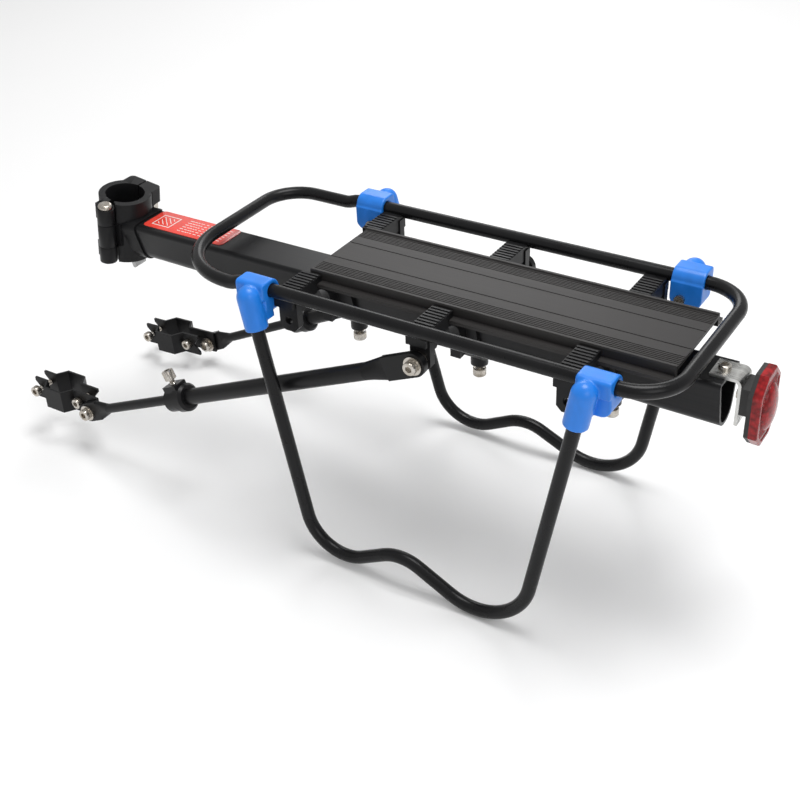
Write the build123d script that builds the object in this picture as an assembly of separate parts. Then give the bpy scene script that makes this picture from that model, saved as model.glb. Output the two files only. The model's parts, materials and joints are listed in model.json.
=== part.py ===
from build123d import *
from math import atan2, cos, degrees, hypot, pi, radians, sin, sqrt
import os

# Seatpost bicycle rack: clamp, beam, deck, hoop, two U side guards and two telescopic stays.
# Frame: millimetres, +X rearward, +Y to the bicycle's right, +Z up. The origin is the middle of
# the seatpost bore, on its axis. The deck is level and the bore leans back at the top.

# ---- general clearances ---------------------------------------------------------------------
BIG = 60.0        # reach of a cutting block that has to clear the whole clamp
RUN = 0.05        # radial clearance of a pin or a rod that turns or slides
GAP = 0.4         # gap between faces that move past each other
SEAT = 0.02       # gap of faces that are screwed together

# ---- seatpost clamp (its own frame leans with the bore) --------------------------------------
LEAN = 8.0        # degrees, top of the seatpost leans rearward
BORE_R = 16.0
CLAMP_H = 54.0
CLAMP_WALL = 5.5
CLAMP_R = BORE_R + CLAMP_WALL
SPLIT = 1.2       # gap between jaw and body
ARM_V = -14.0     # inner edge of the arms that join the ring to the hinge
RELIEF = 0.8      # room round a knuckle of the other half
HINGE_U, HINGE_V = 1.0, -25.0
BARREL_R = 7.2
PIN_R = 3.0
PIN_HEAD_R, PIN_HEAD_H = 5.8, 3.6
KNUCKLE_SPLITS = (10.0, -10.5)
BARREL_TOP, BARREL_BOTTOM = 24.0, -25.0
EAR_V0, EAR_V1 = 15.0, 27.0
EAR_FRONT, EAR_REAR = -15.6, 16.0
BOLT_V, BOLT_W = 21.6, 9.0
BOLT_R = 2.5
NUT_R, NUT_H = 4.6, 5.0
EYE_R, EYE_T = 4.5, 5.0
LEVER_PIN_R = 2.0
CAM_R = 7.0
CAM_TRAVEL = 2.2  # drop of the cam over its full swing
LEVER_SWING = 130.0
LEVER_W = 13.0
LEVER_T = 3.6
LEVER_LINE = ((1.0, -8.0), (1.6, -33.0), (14.5, -63.5))   # middle line of the blade from its pivot
CAM_CLEAR = 0.15

# ---- main beam ------------------------------------------------------------------------------
BEAM_TOP = 8.5
BEAM_HALF = 18.0
BEAM_LOW_FRONT, BEAM_LOW_REAR = -25.5, -31.5   # the beam is deeper at its rear end
BEAM_CORNER = 3.0
BEAM_KEEL_R = 12.5
BEAM_WALL = 2.4
BEAM_X0, BEAM_X1 = 23.0, 522.0
SOCKET_X1 = 26.5
SOCKET_WALL = 1.6

# ---- hoop -----------------------------------------------------------------------------------
HOOP_R = 5.0
HOOP_WALL = 1.5
HOOP_Y = 76.0
HOOP_Z = 26.0
HOOP_X0, HOOP_X1 = 112.5, 509.0
HOOP_FRONT_BEND = {1: 30.0, -1: 58.0}   # the left front bend is the wider one
HOOP_REAR_BEND = 32.0
HOOP_DROP = 3.0
DROP_X0, DROP_X1 = 171.5, 186.0

# ---- deck -----------------------------------------------------------------------------------
DECK_X0, DECK_X1 = 218.0, 499.0
DECK_TOP = 26.2
DECK_T = 2.6
DECK_HALF = 38.5
DECK_LIP_W, DECK_LIP_H = 3.0, 1.2
DECK_SKIRT_T = 2.4
DECK_FOOT_HALF = 45.0
DECK_FOOT_T = 2.6
DECK_FOOT_Z = 17.6
GROOVE_W, GROOVE_D, GROOVE_PITCH, GROOVES = 0.9, 0.45, 2.0, 6
BAND_HALF = 12.5

# ---- cross brackets -------------------------------------------------------------------------
STATIONS = (220.0, 330.0, 440.0)
PLATE_W = 16.0
PLATE_TOP = 25.0
PLATE_IN = 39.2
RIB_W, RIB_H, RIB_PITCH, RIBS = 1.8, 0.8, 3.7, 7
WEB_T = 8.0
WEB_SHIFT = 3.0   # the web and the tabs sit behind the middle of the top plate
BAND_XS = (231.0, 336.5, 442.0)   # middles of the bands round the beam
BAND_W = 17.0
BAND_WALL = 3.4
ARCH_R = 17.0
ARCH_Y, ARCH_Z = 46.0, -3.0
TAB_Y0, TAB_Y1 = 66.5, 72.5
TAB_W = 16.0
TAB_SHIFT = 1.0
TAB_BOTTOM = -6.5
TAB_HOLE_Z = 2.0
TAB_HOLE_R = 3.1
NUT_ROOM, NUT_ROOM_R = 10.0, 7.5   # pocket in the web behind each tab
LUG_R = 6.5
LUG_DROP = 10.0    # below the beam
M6_R, M6_HEAD_R, M6_HEAD_H = 2.9, 5.0, 6.0
M6_STAND = 4.0

# ---- label ----------------------------------------------------------------------------------
LABEL_X0, LABEL_X1 = 29.0, 111.0
LABEL_Y0, LABEL_Y1 = -12.0, 16.5
LABEL_T = 0.4
LABEL_R = 5.0

# ---- reflector ------------------------------------------------------------------------------
TONGUE_W, TONGUE_T = 20.0, 2.2
TONGUE_X0 = 511.0
LEG_X = 533.0
LEG_BOTTOM = -24.0
LEG_BEND = 5.0
TONGUE_SCREW_X = 518.0
REF_X0, REF_X1 = 540.5, 554.0
REF_W, REF_H = 38.0, 53.0
REF_Z = -9.0
REF_CUT = 11.0
REF_RIM = 2.0
BOSS_W, BOSS_H = 20.0, 20.0
BOSS_Z = -5.0

# ---- side guards and their clips ------------------------------------------------------------
GUARD_R = 5.0
GUARD_Y = 91.0
GUARD_SPLAY = 2.5          # degrees outward
GUARD_TOP = 4.0            # above the hoop's middle
GUARD_FRONT_X, GUARD_REAR_X = 201.5, 460.5
GUARD_FRONT_SLOPE, GUARD_REAR_SLOPE = 0.23, 0.185
GUARD_FRONT_LOW = 217.1    # sharp corners of the bar's middle line, below the hoop's middle
GUARD_CREST = (324.7, 179.0)
GUARD_REAR_LOW = 225.3
GUARD_BENDS = (33.8, 34.0, 44.0)
CLIP_LEN = 24.0
CLIP_SHIFT = {True: -2.0, False: 3.5}   # collar against the socket, front and rear clips
CLIP_WALL = 3.4
CLIP_SOCKET_R = 8.6
CLIP_SOCKET_LOW = -25.0    # below the hoop's middle
CLIP_CEILING = 8.0
CLIP_PAD_LOW = -19.0
CLIP_PAD_Y = 66.6
CLIP_SCREW_Z = -13.0
CLIP_PAD_CORNER = 7.0
M4_R, M4_HEAD_R, M4_HEAD_H = 1.9, 3.8, 2.4

# ---- telescopic stays -----------------------------------------------------------------------
STAY_Y = 79.5
STAY_PIVOT = (STATIONS[1] + TAB_SHIFT, TAB_HOLE_Z)
STAY_ANGLE = {"left": 23.9, "right": 26.2}   # degrees below level, toward the front
STAY_R, STAY_BORE = 6.5, 4.15
STAY_EYE_R, STAY_EYE_T = 9.0, 5.0
STAY_FLAT_END = 44.0
STAY_TUBE_END = 234.5
COLLAR_S0, COLLAR_S1 = 232.0, 254.0
COLLAR_R = 10.2
COLLAR_LIP = 11.4
THUMB_R, THUMB_H, THUMB_STAND = 4.7, 8.0, 4.0
THUMB_SHANK_R = 2.4
THUMB_S = 243.5
ROD_R = 4.1 - RUN
ROD_IN = 134.0
ROD_END = {"left": 363.0, "right": 367.0}   # pivot bolt to the rod's eye; the right rod is drawn out further
ROD_EYE_R, ROD_EYE_T = 8.5, 5.0
ROD_NECK = 28.0
ROD_FLAT = 14.0
M6_WASHER_R, M6_WASHER_T = 7.0, 1.2
STAY_HEAD_H = 4.6
BUSH_R = 6.0
M6_NUT_R, M6_NUT_H = 5.6, 4.8

# ---- seatstay clamps ------------------------------------------------------------------------
SHELL_T = 2.0
SHELL_H = 20.0
SHELL_PART = 4.5           # half the gap between the two shells
SHELL_BULGE = 13.5
SHELL_FLAT, SHELL_WAIST = 9.0, 15.0
SHELL_FRONT = 29.0
SHELL_REAR_OUTER, SHELL_REAR_INNER = 44.0, 34.0
SHELL_NOTCH = 6.0
SHELL_CORNER = 0.45        # how far the outside bends lie beyond the inside ones, in thicknesses
SHELL_CENTRE = 36.0        # pivot bolt to the middle of the clamp
SHELL_RAISE = 3.5          # middle of the clamp above its pivot bolt
SHELL_TILT = {"left": 0.0, "right": 3.0}   # degrees, rear end up
SHELL_SCREW_FRONT, SHELL_SCREW_REAR = -24.0, 21.5
SHELL_SCREW_STAND = 3.0
M5_R, M5_HEAD_R, M5_HEAD_H = 2.4, 4.6, 5.0
M5_NUT_R, M5_NUT_H = 4.4, 4.0


def leaning(shape):
    """Take a shape from the clamp's frame to the part's frame."""
    return Rot(0, LEAN, 0) * shape


def block(x0, x1, y0, y1, z0, z1):
    """Box given by its six faces."""
    return Pos((x0 + x1) / 2, (y0 + y1) / 2, (z0 + z1) / 2) * Box(x1 - x0, y1 - y0, z1 - z0)


def rod_x(x0, x1, y, z, r):
    """Cylinder along X."""
    return Pos((x0 + x1) / 2, y, z) * Rot(0, 90, 0) * Cylinder(r, x1 - x0)


def rod_y(y0, y1, x, z, r):
    """Cylinder along Y."""
    return Pos(x, (y0 + y1) / 2, z) * Rot(90, 0, 0) * Cylinder(r, abs(y1 - y0))


def rod_z(z0, z1, x, y, r):
    """Cylinder along Z."""
    return Pos(x, y, (z0 + z1) / 2) * Cylinder(r, z1 - z0)


def hex_y(y0, y1, x, z, r):
    """Hexagonal prism along Y."""
    return Pos(x, (y0 + y1) / 2, z) * Rot(90, 0, 0) * extrude(RegularPolygon(r, 6), abs(y1 - y0) / 2, both=True)


def face_yz(points):
    """Closed outline in the YZ plane; extruding it goes along +X."""
    return Plane.YZ * make_face(Polyline(*points, close=True))


def slab_x(face, x0, x1):
    """Extrude a YZ face between two X positions."""
    return Pos(x0, 0, 0) * extrude(face, x1 - x0)


def both_sides(shape):
    """The shape and its mirror image across the bicycle's middle plane."""
    return shape, shape.mirror(Plane.XZ)


def socket_screw_down(x, y, tip_z, seat_z, r, head_r, head_h):
    """Socket head screw whose head hangs below seat_z."""
    shank = rod_z(seat_z, tip_z, x, y, r)
    head = rod_z(seat_z - head_h, seat_z, x, y, head_r)
    head = chamfer(head.faces().sort_by(Axis.Z)[0].edges(), 0.5)
    key = Pos(x, y, seat_z - head_h) * extrude(RegularPolygon(head_r * 0.55, 6), head_h * 0.5)
    return shank + head - key


def socket_screw_y(x, z, seat, tip, r, head_r, head_h):
    """Socket head screw along Y with its head outside seat, pointing at tip."""
    way = 1 if tip > seat else -1
    out = seat - way * head_h
    head = chamfer(rod_y(seat, out, x, z, head_r).edges().filter_by(GeomType.CIRCLE), 0.4)
    key = hex_y(out, out + way * head_h * 0.5, x, z, head_r * 0.55)
    return rod_y(seat, tip, x, z, r) + head - key


# ---- beam section ---------------------------------------------------------------------------
def beam_low(x):
    """Height of the beam's underside at one X position."""
    return BEAM_LOW_FRONT + (BEAM_LOW_REAR - BEAM_LOW_FRONT) * (x - BEAM_X0) / (BEAM_X1 - BEAM_X0)


def beam_outline(x, grow=0.0):
    """Flat-topped keel section of the beam at one X position, grown outward by grow."""
    top, keel = BEAM_CORNER + grow, BEAM_KEEL_R + grow
    corner_y, corner_z = BEAM_HALF - BEAM_CORNER, BEAM_TOP - BEAM_CORNER
    keel_z = beam_low(x) + BEAM_KEEL_R
    dy, dz = corner_y, corner_z - keel_z
    reach = hypot(dy, dz)
    turn = atan2(dz, dy) - atan2(sqrt(reach ** 2 - (keel - top) ** 2), keel - top)
    ny, nz = cos(turn), sin(turn)
    mid = turn + (pi / 2 - turn) / 2
    side_top = (corner_y + top * ny, corner_z + top * nz)
    crown = (corner_y + top * cos(mid), corner_z + top * sin(mid))
    shoulder = (corner_y, corner_z + top)
    side_low = (keel * ny, keel_z + keel * nz)
    keel_low = (0, keel_z - keel)

    def left(p):
        return (-p[0], p[1])

    wire = [
        Line(left(shoulder), shoulder),
        ThreePointArc(shoulder, crown, side_top),
        Line(side_top, side_low),
        ThreePointArc(side_low, keel_low, left(side_low)),
        Line(left(side_low), left(side_top)),
        ThreePointArc(left(side_top), left(crown), left(shoulder)),
    ]
    return Pos(x, 0, 0) * (Plane.YZ * make_face(Curve() + wire))


def beam_length(x0, x1, grow=0.0):
    """Solid length of the tapering beam."""
    return loft([beam_outline(x0, grow), beam_outline(x1, grow)])


def make_beam():
    """Hollow beam, open at both ends, with the reflector's screw hole in its top."""
    outer = beam_length(BEAM_X0, BEAM_X1)
    inner = beam_length(BEAM_X0 - 1, BEAM_X1 + 1, -BEAM_WALL)
    screw = rod_z(BEAM_TOP - 2 * BEAM_WALL, BEAM_TOP + 1, TONGUE_SCREW_X, 0, M4_R + RUN)
    return outer - inner - screw


# ---- seatpost clamp -------------------------------------------------------------------------
def ring(u_low, u_high):
    """Part of the clamp ring between two U positions."""
    return Cylinder(CLAMP_R, CLAMP_H) & block(u_low, u_high, -BIG, BIG, -BIG, BIG)


def knuckle(w0, w1, extra=0.0):
    """Length of the hinge barrel."""
    return rod_z(w0, w1, HINGE_U, HINGE_V, BARREL_R + extra)


def make_clamp_body():
    """Rear half of the clamp with the beam's socket, the middle knuckle and the nut's ear."""
    half = CLAMP_H / 2
    solid = ring(SPLIT / 2, CLAMP_R + 1)
    ear = block(SPLIT / 2, EAR_REAR, EAR_V0, EAR_V1, -half, half)
    ear = fillet(ear.edges().filter_by(Axis.Z).sort_by(Axis.X)[-1:], 4)
    arm = block(SPLIT / 2, 12, HINGE_V + 4, ARM_V, KNUCKLE_SPLITS[1] + GAP / 2, KNUCKLE_SPLITS[0] - GAP / 2)
    solid = solid + ear + arm + knuckle(KNUCKLE_SPLITS[1] + GAP / 2, KNUCKLE_SPLITS[0] - GAP / 2)
    solid = leaning(solid)
    socket = beam_length(8, SOCKET_X1, SOCKET_WALL)
    solid = solid + socket
    solid = solid - beam_length(BEAM_X0, SOCKET_X1 + 1, RUN / 2)
    bore = leaning(Cylinder(BORE_R, 3 * CLAMP_H))
    slots = []
    for w0, w1 in ((KNUCKLE_SPLITS[0] - GAP / 2, half + 20), (-half - 20, KNUCKLE_SPLITS[1] + GAP / 2)):
        slots.append(leaning(knuckle(w0, w1, RELIEF)))
        slots.append(leaning(block(-20, 3.2, HINGE_V - 10, ARM_V, w0, w1)))
    slots.append(leaning(block(-40, SPLIT / 2, -BIG, -9, KNUCKLE_SPLITS[0] - GAP / 2, BIG)))
    slots.append(leaning(block(-40, SPLIT / 2, -BIG, -9, -BIG, KNUCKLE_SPLITS[1] + GAP / 2)))
    pin = leaning(rod_z(-BIG, BIG, HINGE_U, HINGE_V, PIN_R))
    hole = leaning(rod_x(-BIG, BIG, BOLT_V, BOLT_W, BOLT_R + 0.15))
    recess = leaning(block(EAR_REAR - NUT_H - 3, EAR_REAR + 30, BOLT_V - NUT_R - 0.6, BIG,
                           BOLT_W - NUT_R - 0.6, BOLT_W + NUT_R + 0.6))
    top = leaning(block(-BIG, BIG, -BIG, BIG, half, half + BIG))
    head = leaning(rod_z(BARREL_TOP, BIG, HINGE_U, HINGE_V, PIN_HEAD_R + GAP))
    solid = solid - bore - pin - hole - recess - top - head
    for cut in slots:
        solid = solid - cut
    return solid


def make_clamp_jaw():
    """Front half of the clamp with the two outer knuckles and the slotted ear."""
    half = CLAMP_H / 2
    solid = ring(-CLAMP_R - 1, -SPLIT / 2)
    ear = block(EAR_FRONT, -SPLIT / 2, EAR_V0, EAR_V1, -half, half)
    ear = fillet(ear.edges().filter_by(Axis.Z).group_by(Axis.X)[0].sort_by(Axis.Y)[-1:], 4)
    solid = solid + ear
    for w0, w1 in ((KNUCKLE_SPLITS[0] + GAP / 2, BARREL_TOP), (BARREL_BOTTOM, KNUCKLE_SPLITS[1] - GAP / 2)):
        arm = block(-11, -SPLIT / 2, HINGE_V + 1, ARM_V, w0, w1)
        solid = solid + arm + knuckle(w0, w1)
    low, high = KNUCKLE_SPLITS[1] - GAP / 2, KNUCKLE_SPLITS[0] + GAP / 2
    solid = solid - knuckle(low, high, RELIEF)
    solid = solid - block(0, 30, -BIG, -9, -BIG, low) - block(0, 30, -BIG, -9, high, BIG) \
        + knuckle(BARREL_BOTTOM, low) + knuckle(high, BARREL_TOP)
    solid = solid - Cylinder(BORE_R, 3 * CLAMP_H) - rod_z(-BIG, BIG, HINGE_U, HINGE_V, PIN_R + RUN)
    solid = solid - rod_z(BARREL_TOP, BIG, HINGE_U, HINGE_V, PIN_HEAD_R + GAP)
    solid = solid - block(-BIG, 0, BOLT_V - BOLT_R - 0.5, BIG, BOLT_W - BOLT_R - 0.5, BOLT_W + BOLT_R + 0.5)
    return leaning(solid)


def make_hinge_pin():
    """Domed pin, pressed into the body's knuckle."""
    pin = rod_z(BARREL_BOTTOM - 1, BARREL_TOP + 0.3, HINGE_U, HINGE_V, PIN_R - SEAT)
    head = Pos(HINGE_U, HINGE_V, BARREL_TOP + 0.3) * Cylinder(PIN_HEAD_R, PIN_HEAD_H, align=(
        Align.CENTER, Align.CENTER, Align.MIN))
    head = fillet(head.faces().sort_by(Axis.Z)[-1].edges(), PIN_HEAD_H * 0.7)
    return leaning(pin + head)


PIVOT_U = EAR_FRONT - CAM_R - CAM_CLEAR


def make_clamp_bolt():
    """Eye bolt from the lever's pin to the nut."""
    seat = EAR_REAR - NUT_H - 3
    shank = rod_x(PIVOT_U + EYE_R - 1, seat + NUT_H, BOLT_V, BOLT_W, BOLT_R)
    eye = rod_y(BOLT_V - EYE_T / 2, BOLT_V + EYE_T / 2, PIVOT_U, BOLT_W, EYE_R)
    neck = block(PIVOT_U, PIVOT_U + EYE_R + 1, BOLT_V - BOLT_R, BOLT_V + BOLT_R, BOLT_W - BOLT_R, BOLT_W + BOLT_R)
    hole = rod_y(BOLT_V - EYE_T, BOLT_V + EYE_T, PIVOT_U, BOLT_W, LEVER_PIN_R + RUN)
    return leaning(shank + eye + neck - hole)


def make_clamp_nut():
    """Hexagonal nut in the recess of the body's ear."""
    seat = EAR_REAR - NUT_H - 3
    body = Pos(seat + SEAT, BOLT_V, BOLT_W) * Rot(0, 90, 0) * extrude(RegularPolygon(NUT_R, 6), NUT_H - 0.5)
    return leaning(body - rod_x(seat - 1, seat + NUT_H + 1, BOLT_V, BOLT_W, BOLT_R))


def make_lever_pin():
    """Pin pressed into the lever; it turns in the bolt's eye."""
    half = LEVER_W / 2
    return leaning(rod_y(BOLT_V - half - 0.6, BOLT_V + half + 0.6, PIVOT_U, BOLT_W, LEVER_PIN_R))


def make_lever():
    """Cam lever hanging in front of the jaw; its cam is a spiral, so its drop is even."""
    points = []
    steps = 24
    for i in range(steps + 1):
        turn = 200.0 * i / steps
        r = CAM_R - CAM_TRAVEL * min(turn, LEVER_SWING) / LEVER_SWING
        points.append((r * cos(radians(turn)), r * sin(radians(turn))))
    tail = Polyline(points[-1], (-5.0, -14.0), (CAM_R - 2.0, -14.0), (CAM_R - 2.0, -4.4), points[0])
    cam = extrude(Plane.XZ * make_face(Curve() + [Spline(*points), tail]), LEVER_W / 2, both=True)
    line = FilletPolyline(*LEVER_LINE, radius=10)
    blade = extrude(Plane.XZ * make_face(offset(line, LEVER_T / 2)), LEVER_W / 2, both=True)
    lever = cam + blade
    slot = block(-EYE_R - 1.0, CAM_R + 2, -EYE_T / 2 - 0.3, EYE_T / 2 + 0.3, -EYE_R - 1.2, CAM_R + 2)
    lever = lever - slot - rod_y(-LEVER_W, LEVER_W, 0, 0, LEVER_PIN_R)
    return leaning(Pos(PIVOT_U, BOLT_V, BOLT_W) * lever)


# ---- hoop and guards ------------------------------------------------------------------------
def make_hoop():
    """Closed bent tube: the two halves are swept from the front to the rear and joined."""
    low = HOOP_Z - HOOP_DROP
    y_rear = HOOP_Y - HOOP_REAR_BEND
    k = sin(radians(45))
    pieces = []
    for s in (1, -1):
        bend = HOOP_FRONT_BEND[s]
        y_front = HOOP_Y - bend
        pieces.append(Line((HOOP_X0, 0, low), (HOOP_X0, s * y_front, low)))
        pieces.append(ThreePointArc(
            (HOOP_X0, s * y_front, low),
            (HOOP_X0 + bend * (1 - k), s * (y_front + bend * k), low),
            (HOOP_X0 + bend, s * HOOP_Y, low)))
        pieces.append(Line((HOOP_X0 + bend, s * HOOP_Y, low), (DROP_X0, s * HOOP_Y, low)))
        pieces.append(Spline((DROP_X0, s * HOOP_Y, low), (DROP_X1, s * HOOP_Y, HOOP_Z),
                             tangents=((1, 0, 0), (1, 0, 0))))
        pieces.append(Line((DROP_X1, s * HOOP_Y, HOOP_Z), (HOOP_X1 - HOOP_REAR_BEND, s * HOOP_Y, HOOP_Z)))
        pieces.append(ThreePointArc(
            (HOOP_X1 - HOOP_REAR_BEND, s * HOOP_Y, HOOP_Z),
            (HOOP_X1 - HOOP_REAR_BEND * (1 - k), s * (y_rear + HOOP_REAR_BEND * k), HOOP_Z),
            (HOOP_X1, s * y_rear, HOOP_Z)))
        pieces.append(Line((HOOP_X1, s * y_rear, HOOP_Z), (HOOP_X1, 0, HOOP_Z)))
    tube = None
    for s in (0, 7):
        path = Wire([e for p in pieces[s:s + 7] for e in p.edges()])
        ends = Plane(origin=path @ 0, z_dir=path % 0)
        solid = sweep(ends * Circle(HOOP_R), path=path)
        bore = sweep(ends * Circle(HOOP_R - HOOP_WALL), path=path)
        half = solid - bore
        tube = half if tube is None else tube + half
    return tube


def guard_points():
    """Corner points of the guard in its own plane: X and height above the hoop's middle."""
    front_low = (GUARD_FRONT_X + GUARD_FRONT_SLOPE * GUARD_FRONT_LOW, -GUARD_FRONT_LOW)
    rear_low = (GUARD_REAR_X - GUARD_REAR_SLOPE * GUARD_REAR_LOW, -GUARD_REAR_LOW)
    top_front = (GUARD_FRONT_X - GUARD_FRONT_SLOPE * GUARD_TOP, GUARD_TOP)
    top_rear = (GUARD_REAR_X + GUARD_REAR_SLOPE * GUARD_TOP, GUARD_TOP)
    return top_front, front_low, (GUARD_CREST[0], -GUARD_CREST[1]), rear_low, top_rear


def make_guard():
    """Right-hand guard; the bar stands in the XZ plane and is then splayed outward."""
    wire = FilletPolyline(*[(x, 0, z) for x, z in guard_points()], radius=GUARD_BENDS)
    plane = Plane(origin=wire @ 0, z_dir=wire % 0)
    bar = sweep(plane * Circle(GUARD_R), path=wire)
    return Pos(0, GUARD_Y, HOOP_Z) * Rot(GUARD_SPLAY, 0, 0) * bar


def make_clip(front):
    """Right-hand plastic clip: collar on the hoop, blind socket for the guard's end, screw pad."""
    x = GUARD_FRONT_X if front else GUARD_REAR_X
    slope = -GUARD_FRONT_SLOPE if front else GUARD_REAR_SLOPE
    tilt = degrees(atan2(slope, 1))
    half = CLIP_LEN / 2
    grip = HOOP_R + CLIP_WALL
    mid = x + CLIP_SHIFT[front]
    collar = rod_x(mid - half, mid + half, HOOP_Y, HOOP_Z, grip)
    shoulder = block(mid - half, mid + half, HOOP_Y - 2, HOOP_Y + grip + 3, HOOP_Z - 4, HOOP_Z + grip)
    collar = collar + fillet(shoulder.edges().filter_by(Axis.X).group_by(Axis.Z)[-1].sort_by(Axis.Y)[-1:], 3)
    lean = Pos(x, GUARD_Y, HOOP_Z) * Rot(GUARD_SPLAY, 0, 0) * Rot(0, tilt, 0)
    dome_z = CLIP_CEILING - CLIP_SOCKET_R
    post = Cylinder(CLIP_SOCKET_R, dome_z - CLIP_SOCKET_LOW, align=(Align.CENTER, Align.CENTER, Align.MIN))
    post = Pos(0, 0, CLIP_SOCKET_LOW) * post + Pos(0, 0, dome_z) * Sphere(CLIP_SOCKET_R)
    web = Pos(0, -8, (CLIP_SOCKET_LOW + CLIP_CEILING) / 2 - 2) * Box(13, 14, CLIP_CEILING - CLIP_SOCKET_LOW - 12)
    pad = block(mid - half, mid + half, CLIP_PAD_Y, GUARD_Y - 6, HOOP_Z + CLIP_PAD_LOW, HOOP_Z)
    pad = fillet(pad.edges().filter_by(Axis.Y).group_by(Axis.Z)[0], CLIP_PAD_CORNER)
    body = collar + lean * post + (lean * web & block(x - 30, x + 30, HOOP_Y, 200, -100, 100)) + pad
    body = body - rod_x(x - 60, x + 60, HOOP_Y, HOOP_Z, HOOP_R + SEAT)
    leg = Pos(0, 0, -100) * Cylinder(GUARD_R + SEAT, 100 + GUARD_TOP + 0.3,
                                     align=(Align.CENTER, Align.CENTER, Align.MIN))
    body = body - lean * leg
    body = body - rod_y(CLIP_PAD_Y - 5, CLIP_PAD_Y + 12, x, HOOP_Z + CLIP_SCREW_Z, M4_R)
    return body


def make_clip_screw(front):
    """Cross-recessed screw in the inner side of a right-hand clip."""
    x = GUARD_FRONT_X if front else GUARD_REAR_X
    z = HOOP_Z + CLIP_SCREW_Z
    shank = rod_y(CLIP_PAD_Y, CLIP_PAD_Y + 11, x, z, M4_R - SEAT)
    head = rod_y(CLIP_PAD_Y - M4_HEAD_H, CLIP_PAD_Y, x, z, M4_HEAD_R)
    cross = block(x - 2.4, x + 2.4, CLIP_PAD_Y - M4_HEAD_H - 1, CLIP_PAD_Y - M4_HEAD_H + 1.1, z - 0.45, z + 0.45)
    cross = cross + block(x - 0.45, x + 0.45, CLIP_PAD_Y - M4_HEAD_H - 1, CLIP_PAD_Y - M4_HEAD_H + 1.1,
                          z - 2.4, z + 2.4)
    return shank + head - cross


# ---- deck and brackets ----------------------------------------------------------------------
def make_deck():
    """Extruded deck: raised lips, lengthwise grooves and skirts that end in feet."""
    t, half, foot = DECK_T, DECK_HALF, DECK_FOOT_HALF
    top, foot_z = DECK_TOP, DECK_FOOT_Z
    lip_in = half - DECK_LIP_W
    right = [
        (0, top), (lip_in, top), (lip_in + 0.5, top + DECK_LIP_H), (half - 0.5, top + DECK_LIP_H),
        (half, top), (half, foot_z + DECK_FOOT_T), (foot, foot_z + DECK_FOOT_T), (foot, foot_z),
        (half - DECK_SKIRT_T, foot_z), (half - DECK_SKIRT_T, top - t), (0, top - t),
    ]
    outline = right + [(-y, z) for y, z in reversed(right[1:-1])]
    deck = slab_x(face_yz(outline), DECK_X0, DECK_X1)
    lines = [lip_in - 2.0 - i * GROOVE_PITCH for i in range(GROOVES)] + [BAND_HALF]
    for y in lines:
        for s in (1, -1):
            deck = deck - block(DECK_X0 - 1, DECK_X1 + 1, s * y - GROOVE_W / 2, s * y + GROOVE_W / 2,
                                top - GROOVE_D, top + 1)
    return deck


def bracket_web(station):
    """Upright web from the band to both tabs, with an arch on each side."""
    x0 = station + WEB_SHIFT - WEB_T / 2
    bar_top = DECK_FOOT_Z
    web = block(x0, x0 + WEB_T, -TAB_Y1, TAB_Y1, -20, bar_top)
    for s in (1, -1):
        web = web - rod_x(x0 - 1, x0 + WEB_T + 1, s * ARCH_Y, ARCH_Z, ARCH_R)
        web = web - block(x0 - 1, x0 + WEB_T + 1, min(s * (ARCH_Y - ARCH_R), s * (TAB_Y1 + 9)),
                          max(s * (ARCH_Y - ARCH_R), s * (TAB_Y1 + 9)), -40, ARCH_Z)
    return web


def side_block(s, x0, x1, y0, y1, z0, z1):
    """Box on one side of the bicycle's middle plane."""
    return block(x0, x1, min(s * y0, s * y1), max(s * y0, s * y1), z0, z1)


def make_bracket(station, band_x):
    """Cross bracket: band round the beam, web, ribbed pads under the hoop and tabs for the stays."""
    band_x0, band_x1 = band_x - BAND_W / 2, band_x + BAND_W / 2
    bracket = bracket_web(station) + beam_length(band_x0, band_x1, BAND_WALL)
    bracket = bracket + rod_z(beam_low(band_x) - LUG_DROP, beam_low(band_x), band_x, 0, LUG_R)
    plate_x0 = station - PLATE_W / 2
    for s in (1, -1):
        plate_x1 = plate_x0 + PLATE_W
        plate = side_block(s, plate_x0, plate_x1, PLATE_IN, HOOP_Y, DECK_FOOT_Z + DECK_FOOT_T + SEAT, PLATE_TOP)
        riser = side_block(s, plate_x0, plate_x1, DECK_FOOT_HALF + 0.5, HOOP_Y, DECK_FOOT_Z - 4, PLATE_TOP - 1)
        tab_x0 = station + TAB_SHIFT - TAB_W / 2
        tab = side_block(s, tab_x0, tab_x0 + TAB_W, TAB_Y0, TAB_Y1, TAB_BOTTOM, PLATE_TOP - 3)
        tab = chamfer(tab.edges().filter_by(Axis.Y).group_by(Axis.Z)[0], 4)
        bracket = bracket + plate + riser + tab
        for i in range(RIBS):
            y = PLATE_IN + 3.0 + i * RIB_PITCH
            bracket = bracket + side_block(s, plate_x0 + 0.4, plate_x1 - 0.4, y - RIB_W / 2, y + RIB_W / 2,
                                           PLATE_TOP - 0.2, PLATE_TOP + RIB_H)
        bracket = bracket - rod_y(s * (TAB_Y0 - 1), s * (TAB_Y1 + 1), station + TAB_SHIFT, TAB_HOLE_Z, TAB_HOLE_R)
        bracket = bracket - rod_y(s * (TAB_Y0 - NUT_ROOM), s * TAB_Y0, station + TAB_SHIFT, TAB_HOLE_Z, NUT_ROOM_R)
        bracket = bracket - rod_x(station - 40, station + 40, s * HOOP_Y, HOOP_Z, HOOP_R + SEAT)
    bracket = bracket - beam_length(station - 40, station + 40, SEAT)
    low = beam_low(band_x)
    return bracket - rod_z(low - LUG_DROP - 1, low + 2, band_x, 0, M6_R + SEAT)


def make_bracket_bolt(band_x):
    """Bolt that hangs from a bracket's lug."""
    low = beam_low(band_x)
    seat = low - LUG_DROP - M6_STAND
    return socket_screw_down(band_x, 0, low - GAP, seat, M6_R, M6_HEAD_R, M6_HEAD_H)


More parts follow.
